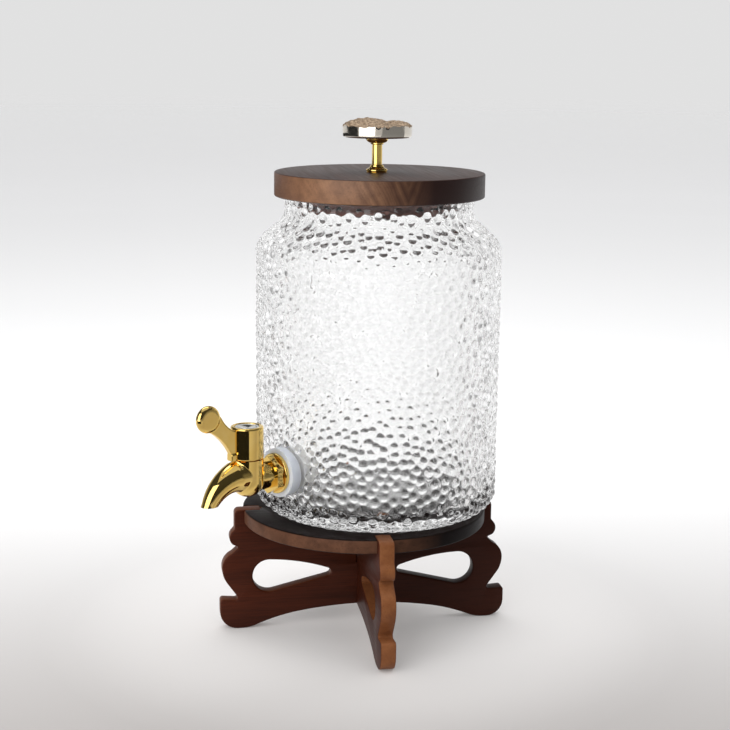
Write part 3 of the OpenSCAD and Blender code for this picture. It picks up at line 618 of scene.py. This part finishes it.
def hammered_ring(bm, r, z, way, marks):
    """One ring of the jar's skin, sunk between the pebbles. Its outline runs in the given way there."""
    share = unit((z - SEAT_FADE[0]) / SEAT_FADE[1]) * unit((rim_z - seat_z - RIM_FADE[0] - z) / RIM_FADE[1])
    points = []
    for a in turns(AROUND):
        p = Vector((r * math.cos(a), r * math.sin(a), z))
        if share > 0:
            aside = jar_r * math.remainder(a - tap_a, 2 * math.pi)
            from_tap = math.hypot(aside, z + seat_z - tail_z)
            calm = unit((from_tap - SMOOTH_R) / (HAMMERED_R - SMOOTH_R))
            deep = share * calm * valley_depth(*marks, p)
            p -= deep * Vector((way[1] * math.cos(a), way[1] * math.sin(a), -way[0]))
        points.append(bm.verts.new(p))
    return points


def glass_jar():
    outer, inner = jar_outlines()
    marks = hammer_marks(outer)
    skin = evenly(outer, SKIN_STEP)
    ways = np.gradient(skin, axis=0)
    ways /= np.linalg.norm(ways, axis=1)[:, None]
    bm = bmesh.new()
    rings = []
    for (r, z), way in zip(skin.tolist(), ways.tolist()):
        rings.append(hoop(bm, r, z, 1) if r < ON_AXIS else hammered_ring(bm, r, z, way, marks))
    rings += [hoop(bm, r, z, AROUND // FOLD) for r, z in evenly(inner, LINING_STEP).tolist()]
    for low, high in zip(rings, rings[1:]):
        if len(low) != FOLD * len(high):
            bridge(bm, low, high)
            continue
        # At the rim one coarse step of the lining meets several fine ones of the skin
        for i in range(len(high)):
            fine = [low[(i * FOLD + k) % len(low)] for k in range(FOLD + 1)]
            bm.faces.new(fine + [high[(i + 1) % len(high)], high[i]])
    bmesh.ops.recalc_face_normals(bm, faces=bm.faces)
    bm.transform(AT_JAR @ Matrix.Translation((0, 0, seat_z)))
    drill = tube(0, HOLE_R, jar_r - 3 * WALL, jar_r + WALL, steps=64)
    drill.transform(AT_TAP @ LYING)
    jar = piece("hammered_jar", cut(bm, drill), "jar", ["glass_jar"], [GLASS], sharp=50)
    # Light passes the clear glass on its way to the pieces inside and to the floor
    jar.visible_shadow = False


# Stand

BOARD_EASE, SLOT_EASE = 1.1, 0.6
# How far a face's normal lies along an axis for the face to count as square to it, or as along it
SQUARE, ALONG = 0.9, 0.1


def stand():
    for node, axis in (("stand_board_x", 1), ("stand_board_y", 0)):
        def on_face(edge, axis=axis):
            return max(abs(f.normal[axis]) for f in edge.link_faces) > SQUARE

        bm = eased(cad_copy(node), BOARD_EASE, on_face)
        piece(node.replace("stand_", "") + "_eased", bm, "stand", [node], [BOARD_WOOD[axis]])

    def on_slot(edge):
        upright = [abs(f.normal.z) for f in edge.link_faces]
        return max(upright) > SQUARE and min(upright) < ALONG

    bm = eased(cad_copy("stand_disc"), SLOT_EASE, on_slot, 2)
    piece("seat_disc", bm, "stand", ["stand_disc"], [DISC_WOOD])


# Lid and knob

def lid():
    piece("turned_lid", cad_copy("lid"), "lid", ["lid"], [LID_WOOD])


def knob_post():
    """Turned post with a spreading foot, a stem and a cup."""
    low, high = post_low.z, knob_low.z
    foot_r, stem_r, cup_r, stud_r = 6.7, 3.2, 7.1, 2.5
    foot_h = cup_h = 4.0
    lip, bead, roll, under = 0.7, 0.9, 1.1, 0.3
    bead_r, bead_gap, nick = 0.45, 0.5, 0.15
    bead_x = stem_r + bead - bead_r
    profile = ([(0, low), (foot_r - under, low)] + arc((foot_r - roll, low + roll), roll, -60, 75, 8)
               + bow((foot_r - roll + 0.1, low + 2 * roll), (stem_r + bead, low + foot_h - bead / 2), 0.2)
               + arc((bead_x, low + foot_h), bead_r, 0, 90, 4)
               + [(stem_r, low + foot_h + bead_gap), (stem_r, high - cup_h - bead_gap)]
               + arc((bead_x, high - cup_h), bead_r, -90, 0, 4)
               + bow((stem_r + bead, high - cup_h + bead / 2), (cup_r, high - lip), -0.8)
               + [(cup_r, high - nick), (cup_r - nick, high), (stud_r, high), (stud_r, post_high.z),
                  (0, post_high.z)])
    piece("turned_post", lathe(profile), "lid", ["knob_post"], [GOLD], AT_KNOB)


def knob_head():
    """Knob head: uneven polished side below, a crumbled crust of two mounds on top."""
    r_top = (knob_high.x - knob_low.x) / 2
    taper, edge, side_h = 0.3, 1.2, 7.6
    low_r = r_top - taper
    # Each mound's middle and spread, as shares of the radius, and its height
    mounds = ((-0.27, 0.74, 3.9), (0.52, 0.46, 2.3))
    # Noise as pairs of how often it repeats and how high it is: cells and swells in the lumps, and grains
    cells, swells, grains = (0.42, 1.2), (0.35, 0.6), (1.3, 0.35)
    crust_up, lump_h, crust_down, noise_z = 0.2, 0.75, 0.45, 3.7
    uneven, side_wide, side_tall, inset = 0.22, 3.1, 0.05, 0.2
    ragged_h, ragged_down, broad, narrow, narrow_h = 1.1, 0.5, (6, 1.7), (17, 4.1), 0.6
    side_shares = (0.3, 0.55, 0.8, 1.0)
    hole_r, hole_h = 2.6, 5.0
    around, rows, rim_blend = 200, 46, 12

    def at_angle(a, wide, z):
        """Noise that closes on itself once round."""
        return noise.noise(Vector((math.cos(a) * wide, math.sin(a) * wide, z)))

    def crust(x, y):
        rise = 0.0
        for at, spread, h in mounds:
            base = r_top * spread
            r = (base * base + h * h) / (2 * h)
            d = math.hypot(x - at * r_top, y)
            if d < base:
                rise = max(rise, h - r + math.sqrt(r * r - d * d))
        p = Vector((x, y, noise_z))
        lumps = noise.voronoi(p * cells[0])[0][0] * cells[1] + noise.noise(p * swells[0]) * swells[1]
        grit = noise.noise(p * grains[0]) * grains[1]
        return side_h + crust_up + rise + lumps * lump_h + grit - crust_down

    def side(a, z):
        return low_r + taper * z / side_h + at_angle(a, side_wide, z * side_tall) * uneven - inset

    bm = bmesh.new()

    def loop(points):
        """A ring of points (angle, radius, height)."""
        return [bm.verts.new((r * math.cos(a), r * math.sin(a), z)) for a, r, z in points]

    angles = turns(around)
    rings = [hoop(bm, hole_r, 0, around)]
    for r, z in arc((low_r - edge, edge), edge, -90, 0, 5):
        rings.append(loop((a, r + side(a, z) - low_r, z) for a in angles))
    ragged = [at_angle(a, *broad) + narrow_h * at_angle(a, *narrow) for a in angles]
    for share in side_shares:
        heights = [edge + (side_h - edge + wave * ragged_h - ragged_down) * share for wave in ragged]
        rings.append(loop((a, side(a, z), z) for a, z in zip(angles, heights)))
    rim = [(math.hypot(v.co.x, v.co.y), v.co.z) for v in rings[-1]]
    side_rings = len(rings)
    for k in range(rows, 0, -1):
        share = k / (rows + 1)
        blend = min(1.0, (1 - share) * rim_blend)
        ring = []
        for a, (r, z) in zip(angles, rim):
            x, y = r * share * math.cos(a), r * share * math.sin(a)
            ring.append(bm.verts.new((x, y, z * (1 - blend) + crust(x, y) * blend)))
        rings.append(ring)
    rings.append(hoop(bm, 0, crust(0, 0), 1))
    bore = [hoop(bm, 0, hole_h, 1), hoop(bm, hole_r, hole_h, around)]
    chain = bore + rings
    for n, (low, high) in enumerate(zip(chain, chain[1:])):
        for face in bridge(bm, low, high):
            face.material_index = int(n > side_rings)
    bmesh.ops.recalc_face_normals(bm, faces=bm.faces)
    bm.transform(Matrix.Translation((0, 0, knob_low.z)))
    piece("crusted_knob", bm, "lid", ["knob_head"], [CHAMPAGNE, CRUST], AT_KNOB, sharp=60)


# Tap

BARREL_R = 10.0
BARREL_LOW = 10.6
SPLIT = 13.3
WASHER_T = 5.5
FLANGE_X = jar_r + WASHER_T
FLANGE_R, FLANGE_T, FLANGE_EDGE = 12.5, 2.4, 0.7
COLLAR_AF, COLLAR_T = 20.6, 5.0
TAP_NECK_R = 8.2
TAIL_R, TAIL_BORE_R, TAIL_END = 7.9, 4.2, 60.0
PITCH = 1.5
GLAND_IN_R, GLAND_R, GLAND_DEEP, GLAND_UP = 6.5, 7.6, 1.0, 5.2
SPOUT_X, SPOUT_Z, SPOUT_ARC_R = 10.0, 3.1, 25.3
SPOUT_A0, SPOUT_A1 = 10.0, 66.0
SPOUT_ROOT_R, SPOUT_TIP_R, CHANNEL_R = 9.5, 4.85, 3.1
# How far the channel's drill reaches on both sides of the outlet
CHANNEL_IN, CHANNEL_OUT = 14, 10


def spout_point(t):
    """Middle of the spout at share t of its arc, out from the barrel's axis and up from the tail."""
    a0 = math.radians(SPOUT_A0)
    a = math.radians(SPOUT_A0 + (SPOUT_A1 - SPOUT_A0) * t)
    return (SPOUT_X + SPOUT_ARC_R * (math.sin(a) - math.sin(a0)),
            SPOUT_Z - SPOUT_ARC_R * (math.cos(a0) - math.cos(a)), a)


def spout():
    """The spout as one swept horn from the barrel's axis to below its outlet."""
    back, slimmer, past, thinning = 2, 0.4, 8, 0.8
    places, sides = 28, 48
    a0 = math.radians(SPOUT_A0)
    path = [(SPOUT_X * t - back, SPOUT_Z, a0 * t, BARREL_R - slimmer) for t in (0, 0.4)]
    for t in np.linspace(0, 1, places):
        path.append((*spout_point(t), SPOUT_ROOT_R + (SPOUT_TIP_R - SPOUT_ROOT_R) * t ** thinning))
    x, z, a, r = path[-1]
    path.append((x + past * math.cos(a), z - past * math.sin(a), a, r))
    bm = bmesh.new()
    rings = []
    for x, z, a, r in path:
        ring = []
        for f in turns(sides):
            up = r * math.cos(f)
            ring.append(bm.verts.new((x + up * math.sin(a), r * math.sin(f), z + up * math.cos(a))))
        rings.append(ring)
    for low, high in zip(rings, rings[1:]):
        bridge(bm, low, high)
    bm.faces.new(rings[0][::-1])
    bm.faces.new(rings[-1])
    bmesh.ops.recalc_face_normals(bm, faces=bm.faces)
    return bm


def tap_casting():
    """Cast barrel, neck and spout."""
    over = 4.0
    bottom = arc((0, BARREL_R - BARREL_LOW), BARREL_R, -90, 0, 20)
    barrel = lathe(bottom + [(BARREL_R, SPLIT + over), (0, SPLIT + over)])
    neck = tube(0, TAP_NECK_R, 0, barrel_x - FLANGE_X - FLANGE_T)
    neck.transform(Matrix.Rotation(-QUARTER, 4, "Y"))
    bm = cast(joined(barrel, neck, spout()), voxel=0.36, rounds=14)
    bm = sliced(bm, SPLIT, keep_below=True)
    x, z, a = spout_point(1)
    bm = sliced(bm, z, keep_below=False)
    drill = tube(0, CHANNEL_R, -CHANNEL_IN, CHANNEL_OUT, steps=48)
    drill.transform(Matrix.Translation((x, 0, z)) @ Matrix.Rotation(QUARTER + a, 4, "Y"))
    gland = tube(GLAND_IN_R, GLAND_R, SPLIT - GLAND_DEEP, SPLIT + GLAND_UP, steps=64)
    bm = joined(cut(bm, drill), gland)
    bm.transform(Matrix.Translation((0, 0, tail_z)))
    piece("tap_casting", bm, "jar", ["tap_body"], [GOLD], AT_BARREL, sharp=40)


def tap_tail():
    """The turned tail with its thread, flange and faceted collar."""
    valley, crest, relief, groove = 0.55, 0.05, 0.6, 0.3
    into, fillet, inset = 1.5, 0.5, 0.3
    collar_wall, collar_ease = 2, 0.5
    thread = []
    for k in range(int((FLANGE_X - TAIL_END) / PITCH)):
        at = TAIL_END + relief + k * PITCH
        thread += [(TAIL_R - valley, at), (TAIL_R - crest, at + PITCH / 2)]
    flange_x = FLANGE_R - FLANGE_EDGE
    end = FLANGE_X + FLANGE_T
    neck_end = end + COLLAR_T + into
    profile = ([(TAIL_BORE_R, TAIL_END), (TAIL_R - relief, TAIL_END)] + thread
               + [(TAIL_R - groove, FLANGE_X), (flange_x, FLANGE_X)]
               + arc((flange_x, FLANGE_X + FLANGE_EDGE), FLANGE_EDGE, -90, 0, 5)
               + arc((flange_x, end - FLANGE_EDGE), FLANGE_EDGE, 0, 90, 5)
               + [(TAP_NECK_R + fillet, end), (TAP_NECK_R, neck_end), (TAIL_BORE_R, neck_end)])
    tail = lathe(profile)
    # Six steps make the collar a hexagon
    collar = tube(COLLAR_AF / 2 - collar_wall, COLLAR_AF / math.sqrt(3), end + inset, end + COLLAR_T,
                  steps=6)
    both = joined(tail, eased(collar, collar_ease, any_edge))
    both.transform(LYING)
    piece("tap_tail", both, "jar", ["tap_body"], [GOLD], AT_TAP)


CAP_GAP, CAP_H = 0.3, 19.8
CAP_FOOT_R, CAP_EDGE_R = 0.8, 1.0
CAP_IN_R, HOLLOW_H, WEB_T = 8.0, 10.5, 3.0
BUTTON_R, BUTTON_DEEP, BUTTON_EDGE, LEDGE = 7.6, 1.8, 0.25, 6.1
LEVER_T, LEVER_REACH, LEVER_RISE = 4.4, 29.1, 28.3
LEVER_END_R, LEVER_END_T = 8.3, 5.6
# Where the blade's lower and upper edge meet the round end, in degrees, and how far they bow
BLADE_A, BLADE_BOW = (263, 175), (1.6, 1.2)
LUG_REACH, LUG_H, LUG_W, LUG_OVER = 13.4, 4.0, 5.4, 0.5


def tap_handle():
    """Turned cap with its lever, a tapering blade that ends in a flat round."""
    low = tail_z + SPLIT + CAP_GAP
    top = low + CAP_H
    hollow = low + HOLLOW_H
    seat = top - BUTTON_DEEP
    profile = ([(CAP_IN_R, low), (BARREL_R - CAP_FOOT_R - 0.1, low)]
               + arc((BARREL_R - CAP_FOOT_R, low + CAP_FOOT_R), CAP_FOOT_R, -90, 0, 5)
               + arc((BARREL_R - CAP_EDGE_R, top - CAP_EDGE_R), CAP_EDGE_R, 0, 90, 8)
               + [(BUTTON_R + BUTTON_EDGE, top), (BUTTON_R, top - BUTTON_EDGE), (BUTTON_R, seat),
                  (LEDGE, seat), (LEDGE, hollow + WEB_T), (0, hollow + WEB_T), (0, hollow),
                  (CAP_IN_R, hollow)])
    cap = lathe(profile, steps=128)
    piece("handle_cap", cap, "handle", ["tap_handle"], [GOLD], AT_BARREL)

    mid = (LEVER_REACH, tail_z + SPLIT + LEVER_RISE)
    root_x = BARREL_R - CAP_EDGE_R
    root_top = top - CAP_EDGE_R
    lug_top = low + LUG_H - LUG_OVER
    lower, upper = (arc(mid, LEVER_END_R, a, a, 0)[0] for a in BLADE_A)
    outline = ([(root_x, lug_top)] + bow((LUG_REACH - LUG_OVER, lug_top), lower, BLADE_BOW[0]) + [mid]
               + bow(upper, (BARREL_R + 1.0, root_top), BLADE_BOW[1]) + [(root_x, root_top)])
    blade = plate(outline, LEVER_T)
    half = LEVER_END_T / 2
    end = lathe([(0, -half)] + arc((LEVER_END_R - half, 0), half, -90, 90, 16) + [(0, half)], steps=72)
    end.transform(Matrix.Translation((mid[0], 0, mid[1])) @ Matrix.Rotation(QUARTER, 4, "X"))
    lug = plate([(root_x, low), (LUG_REACH, low), (LUG_REACH, low + LUG_H), (root_x, low + LUG_H)], LUG_W)
    bm = cast(joined(blade, end, lug), voxel=0.3, rounds=7)
    piece("handle_lever", bm, "handle", ["tap_handle"], [GOLD], AT_BARREL, sharp=60)


def handle_button():
    """Silvery button with a flat rim, a groove and a shallow dish."""
    low, high = node_box("handle_button")
    r = (high.x - low.x) / 2
    edge, rim, groove, dish = 0.3, 1.3, 0.35, 0.9
    dish_r = r - rim - groove
    profile = ([(0, low.z), (r, low.z), (r, high.z - edge), (r - edge, high.z), (r - rim, high.z),
                (r - rim - groove / 2, high.z - groove), (dish_r, high.z)]
               + bow((dish_r, high.z), (0, high.z - dish), -dish / 3))
    piece("dished_button", lathe(profile), "handle", ["handle_button"], [SILVER], AT_BARREL)


def outer_washer():
    bm = eased(cad_copy("outer_washer"), 0.5, any_edge)
    piece("soft_washer", bm, "jar", ["outer_washer"], [SILICONE], sharp=45)


# Materials in use, and the CAD nodes that keep their shape

STAIN, REDDISH, WARM = (0.026, 0.0055, 0.0022), (0.082, 0.0165, 0.0058), (0.245, 0.092, 0.034)
SHADED = (0.115, 0.036, 0.014)
BOARD_SHINE = 0.14
# Painted shade: board X's cut edges take the darker SHADED colour, and its edges and faces darken towards
# +X, where the front leg would shade it
BOARD_WOOD = {1: wood("board_wood_x", STAIN, REDDISH, SHADED, "X", 1, BOARD_SHINE, painted_shade=(-5, 45),
                      faces=0.75),
              0: wood("board_wood_y", STAIN, REDDISH, WARM, "Y", 0, BOARD_SHINE)}
# Painted shade: the disc's cut rim darkens towards +X, past the jar's middle
DISC_WOOD = wood("disc_wood", (0.005, 0.003, 0.003), (0.011, 0.006, 0.005), (0.140, 0.063, 0.036), "X", 2,
                 shine=0.07, painted_shade=(jar_mid.x - 15, jar_mid.x + 30))
# Painted shade: the lid's edge darkens towards +X. Painted light: below the rim, inside the jar's neck, its
# edge takes a bright red-brown
LID_WOOD = wood("lid_wood", (0.020, 0.0058, 0.0042), (0.058, 0.0195, 0.0110), (0.30, 0.148, 0.074), "Y", 2,
                shine=0.40, vs_at=jar_mid.x + 5.5, painted_shade=(jar_mid.x - 24, jar_mid.x + 22),
                redden=(jar_mid.x - 67, jar_mid.x - 50), below=(rim_z, (0.27, 0.115, 0.088)))
GOLD = polished("polished_gold", (0.89, 0.615, 0.175), 0.035, 0.10, (0.92, 0.66, 0.22))
CHAMPAGNE = polished("champagne_gold", (0.80, 0.75, 0.66), 0.06, 0.15, (0.84, 0.78, 0.68))
SILVER = polished("polished_silver", (0.80, 0.80, 0.77), 0.07, 0.06)
STEEL = polished("plain_steel", (0.52, 0.52, 0.53), 0.26, 0.10)
GLASS, CLEAR_SILICONE = clear_glass(), clear_silicone()
SILICONE = silicone("milky_silicone", (0.70, 0.74, 0.81), (0.78, 0.82, 0.88))
# Painted light: a paler copy of the washers' silicone for the inner washer, which sits in the outer
# washer's shade
PAINTED_LIGHT_SILICONE = silicone("painted_light_silicone", (0.92, 0.93, 0.95), (0.97, 0.97, 0.98))
RUBBER, CRUST, NYLON = rubber(), crust_metal(), nylon()

# The inner washer wears the paler silicone, as painted light in the outer washer's shade
KEPT = {"inner_washer": PAINTED_LIGHT_SILICONE, "lid_seal": CLEAR_SILICONE, "backing_washer": NYLON,
        "tail_nut": NYLON, "gland_nut": STEEL, "valve_plug": STEEL, "plug_o_rings": RUBBER,
        "handle_screw": STEEL, "knob_screw": STEEL, "knob_washer": STEEL}


def kept_nodes():
    for node, material in KEPT.items():
        mesh = frame["nodes"][node].data
        mesh.materials.clear()
        mesh.materials.append(material)


# Stage, light and camera

CAMERA_AT = Vector((-0.1687, -0.9786, 0.3754))
LOOK, TILT, ROLL = 80.23, 11.571, 0.642
FOCAL_PX, FRAME_PX = 1583.2, 730


def camera():
    look, tilt, roll = (math.radians(a) for a in (LOOK, TILT, ROLL))
    ahead = Vector((math.cos(look) * math.cos(tilt), math.sin(look) * math.cos(tilt), -math.sin(tilt)))
    right = Vector((math.sin(look), -math.cos(look), 0))
    up = right.cross(ahead)
    x = right * math.cos(roll) + up * math.sin(roll)
    y = up * math.cos(roll) - right * math.sin(roll)
    data = bpy.data.cameras.new("camera")
    data.sensor_width = 36
    data.lens = data.sensor_width * FOCAL_PX / FRAME_PX
    obj = linked("camera", data)
    obj.matrix_world = Matrix.Translation(CAMERA_AT) @ Matrix((x, y, -ahead)).transposed().to_4x4()
    bpy.context.scene.camera = obj


# The floor's tones, and where each begins and ends, in metres behind the stand's middle or away from it.
# The tones are painted light and shade: darker before the stand, paler behind it, and a paler patch at the
# stand where its shadow falls
FLOOR_NEAR, FLOOR_MID, FLOOR_SPAN = (0.375, 0.351, 0.339), (0.88, 0.88, 0.885), (-0.26, 0.34)
FLOOR_FAR, FAR_SPAN = (0.96, 0.96, 0.97), (1.2, 3.0)
FLOOR_FRONT, FRONT_SPAN = (0.62, 0.61, 0.605), (-0.75, -0.28)
FLOOR_SHADOW_LIFT, SHADOW_LIFT_SPAN, SHADOW_LIFT_SHARE = (0.92, 0.90, 0.89), (0.08, 0.21), 0.38
FLOOR_CLOUD, CLOUD_SHARE = (0.70, 0.69, 0.68), 0.04
GLOW, GLOW_SPAN = 0.17, (0.05, 0.19)
FADE_SPAN = (2.6, 10.0)
FLOOR_TURN, FLOOR_SIZE = 9, 60


def floor():
    """Pale floor with painted light and shade: darker towards the viewer, and painted paler at the stand
    where the stand's shadow falls.
    """
    s = Shader("pale_floor", Specular_IOR_Level=0.1, Roughness=0.8, Emission_Color=rgb(1.0, 0.98, 0.96))
    depth = s.along("Y", turn=(0, 0, math.radians(FLOOR_TURN)))
    away = s.add("ShaderNodeVectorMath", {0: s.place()}, operation="LENGTH").outputs["Value"]
    # Painted light and shade: the floor darkens in a band before the stand and pales behind it, like a pool
    # of light
    tone = s.mix(s.ramp(depth, *FLOOR_SPAN), rgb(*FLOOR_NEAR), rgb(*FLOOR_MID))
    tone = s.mix(s.ramp(depth, *FAR_SPAN), tone, rgb(*FLOOR_FAR))
    tone = s.mix(s.ramp(depth, *FRONT_SPAN, 1.0, 0.0), tone, rgb(*FLOOR_FRONT))
    # Painted light: a paler patch at the stand, where its shadow falls
    tone = s.mix(s.ramp(away, *SHADOW_LIFT_SPAN, SHADOW_LIFT_SHARE, 0.0), tone, rgb(*FLOOR_SHADOW_LIFT))
    cloud = s.noise(scale=3.0, detail=2.0)
    s.feed("Base Color", s.mix(s.math("MULTIPLY", cloud, CLOUD_SHARE), tone, rgb(*FLOOR_CLOUD)))
    # Far off the floor fades into the room's pale wall, so that no line shows
    s.feed("Alpha", s.ramp(away, *FADE_SPAN, 1.0, 0.0))
    # Painted light: the floor itself glows a little round the stand, which keeps the stand's shade pale
    s.feed("Emission Strength", s.ramp(away, *GLOW_SPAN, GLOW, 0.0))
    bm = bmesh.new()
    bmesh.ops.create_grid(bm, x_segments=8, y_segments=8, size=FLOOR_SIZE)
    mesh = mesh_of(bm, "floor")
    mesh.materials.append(s.material)
    obj = linked("floor", mesh)


# Grey levels once round the room, the ceiling's level, and the heights between which the walls turn into
# the ceiling. Once round, 0 is in front of the part, 0.25 at its right, 0.5 behind it and 0.75 at its left.
# The plain room is what the camera sees and what lights the part
PALE_ROOM = ((0.0, 0.18), (0.13, 0.20), (0.22, 0.55), (0.30, 0.80), (0.42, 0.755), (0.58, 0.755),
             (0.66, 0.75), (0.75, 0.50), (0.86, 0.40), (0.93, 0.18), (1.0, 0.18))
PALE_CEILING, PALE_TURN = 0.95, (0.45, 0.75)
# Through glass the back wall is brighter and the rest is dark
LIT_ROOM = ((0.0, 0.02), (0.14, 0.03), (0.25, 0.12), (0.36, 0.55), (0.42, 1.20), (0.58, 1.20),
            (0.66, 0.34), (0.75, 0.04), (0.86, 0.02), (1.0, 0.02))
LIT_CEILING, LIT_TURN = 0.28, (0.45, 0.75)
# Polished faces show a lit back wall in a dim room
DIM_ROOM = ((0.0, 0.03), (0.14, 0.05), (0.25, 0.22), (0.36, 0.60), (0.42, 0.76), (0.58, 0.76),
            (0.66, 0.35), (0.75, 0.06), (1.0, 0.03))
DIM_CEILING, DIM_TURN = 0.05, (0.20, 0.45)


def studio():
    """Soft light from the room."""
    world = bpy.data.worlds.new("studio")
    bpy.context.scene.world = world
    world.use_nodes = True
    room = Nodes(world.node_tree)
    way = room.add("ShaderNodeTexCoord").outputs["Generated"]
    turned = room.add("ShaderNodeMapping", {"Vector": way, "Rotation": (0, 0, math.radians(-LOOK))})
    turn = room.add("ShaderNodeTexGradient", {"Vector": turned.outputs["Vector"]},
                    gradient_type="RADIAL").outputs["Fac"]
    height = room.add("ShaderNodeSeparateXYZ", {"Vector": way}).outputs["Z"]

    def walls(levels, ceiling, turn_at):
        return room.mix(room.ramp(height, *turn_at), room.levels(turn, levels), grey(ceiling))

    path = room.add("ShaderNodeLightPath").outputs
    # A ray through glass counts as a glossy one too, so it is sorted out last
    seen = room.mix(path["Is Glossy Ray"], walls(PALE_ROOM, PALE_CEILING, PALE_TURN),
                    walls(DIM_ROOM, DIM_CEILING, DIM_TURN))
    seen = room.mix(path["Is Transmission Ray"], seen, walls(LIT_ROOM, LIT_CEILING, LIT_TURN))
    room.tree.links.new(seen, room.tree.nodes["Background"].inputs["Color"])


def flag(name, tone, low_a, high_a, near, far):
    """A card on the floor round the tap that only reflections show, as the studio's dark floor past its
    table. Its angles run to the viewer's right from the line between tap and camera."""
    lift, edges = 2, 17
    foot = Vector((barrel_at.x * MM, barrel_at.y * MM, lift * MM))
    towards = math.atan2(CAMERA_AT.y - foot.y, CAMERA_AT.x - foot.x)
    bm = bmesh.new()
    spokes = []
    for a in np.radians(np.linspace(low_a, high_a, edges)) + towards:
        out = Vector((math.cos(a), math.sin(a), 0))
        spokes.append([bm.verts.new(foot + out * near), bm.verts.new(foot + out * far)])
    for one, two in zip(spokes, spokes[1:]):
        bm.faces.new(one + two[::-1])
    s = Shader(name, Base_Color=grey(tone), Roughness=1.0, Specular_IOR_Level=0.0)
    mesh = mesh_of(bm, name)
    mesh.materials.append(s.material)
    obj = linked(name, mesh)
    obj.visible_camera = obj.visible_transmission = obj.visible_shadow = obj.visible_diffuse = False


def softbox(name, at, aim, size, watts):
    data = bpy.data.lights.new(name, "AREA")
    data.shape = "RECTANGLE"
    data.size, data.size_y = size
    data.energy = watts
    obj = linked(name, data)
    obj.location = at
    obj.rotation_euler = (Vector(aim) - Vector(at)).to_track_quat("-Z", "Y").to_euler()
    obj.visible_camera = obj.visible_transmission = False


bpy.context.scene.view_settings.view_transform = "Standard"
# Light may turn many times between the pebbles of the glass
bpy.context.scene.cycles.max_bounces = bpy.context.scene.cycles.transmission_bounces = 24
bpy.context.scene.cycles.glossy_bounces = 16
kept_nodes()
stand()
glass_jar()
outer_washer()
tap_casting()
tap_tail()
tap_handle()
handle_button()
lid()
knob_post()
knob_head()
floor()
studio()
# The spill lights the floor behind the key, so that no edge of light shows there
KEY_AT, KEY_SIZE, KEY_WATTS = (-1.10, -1.02, 0.85), (1.5, 1.7), 19
softbox("key", KEY_AT, (0, 0, 0.85), KEY_SIZE, KEY_WATTS)
softbox("spill", KEY_AT, (-2.20, -2.04, 0.85), KEY_SIZE, KEY_WATTS)
softbox("top", (0.05, 0.15, 2.0), (0.05, 0.15, 0.0), (2.4, 2.4), 11)
softbox("back", (0.05, 0.55, 1.1), (0.05, 0.55, 0.0), (1.2, 0.5), 3.6)
flag("front_flag", 0.012, -78, 14, 0.36, 1.0)
flag("left_flag", 0.03, -175, -78, 1.1, 4.0)
flag("right_flag", 0.25, 14, 100, 0.75, 4.0)
camera()
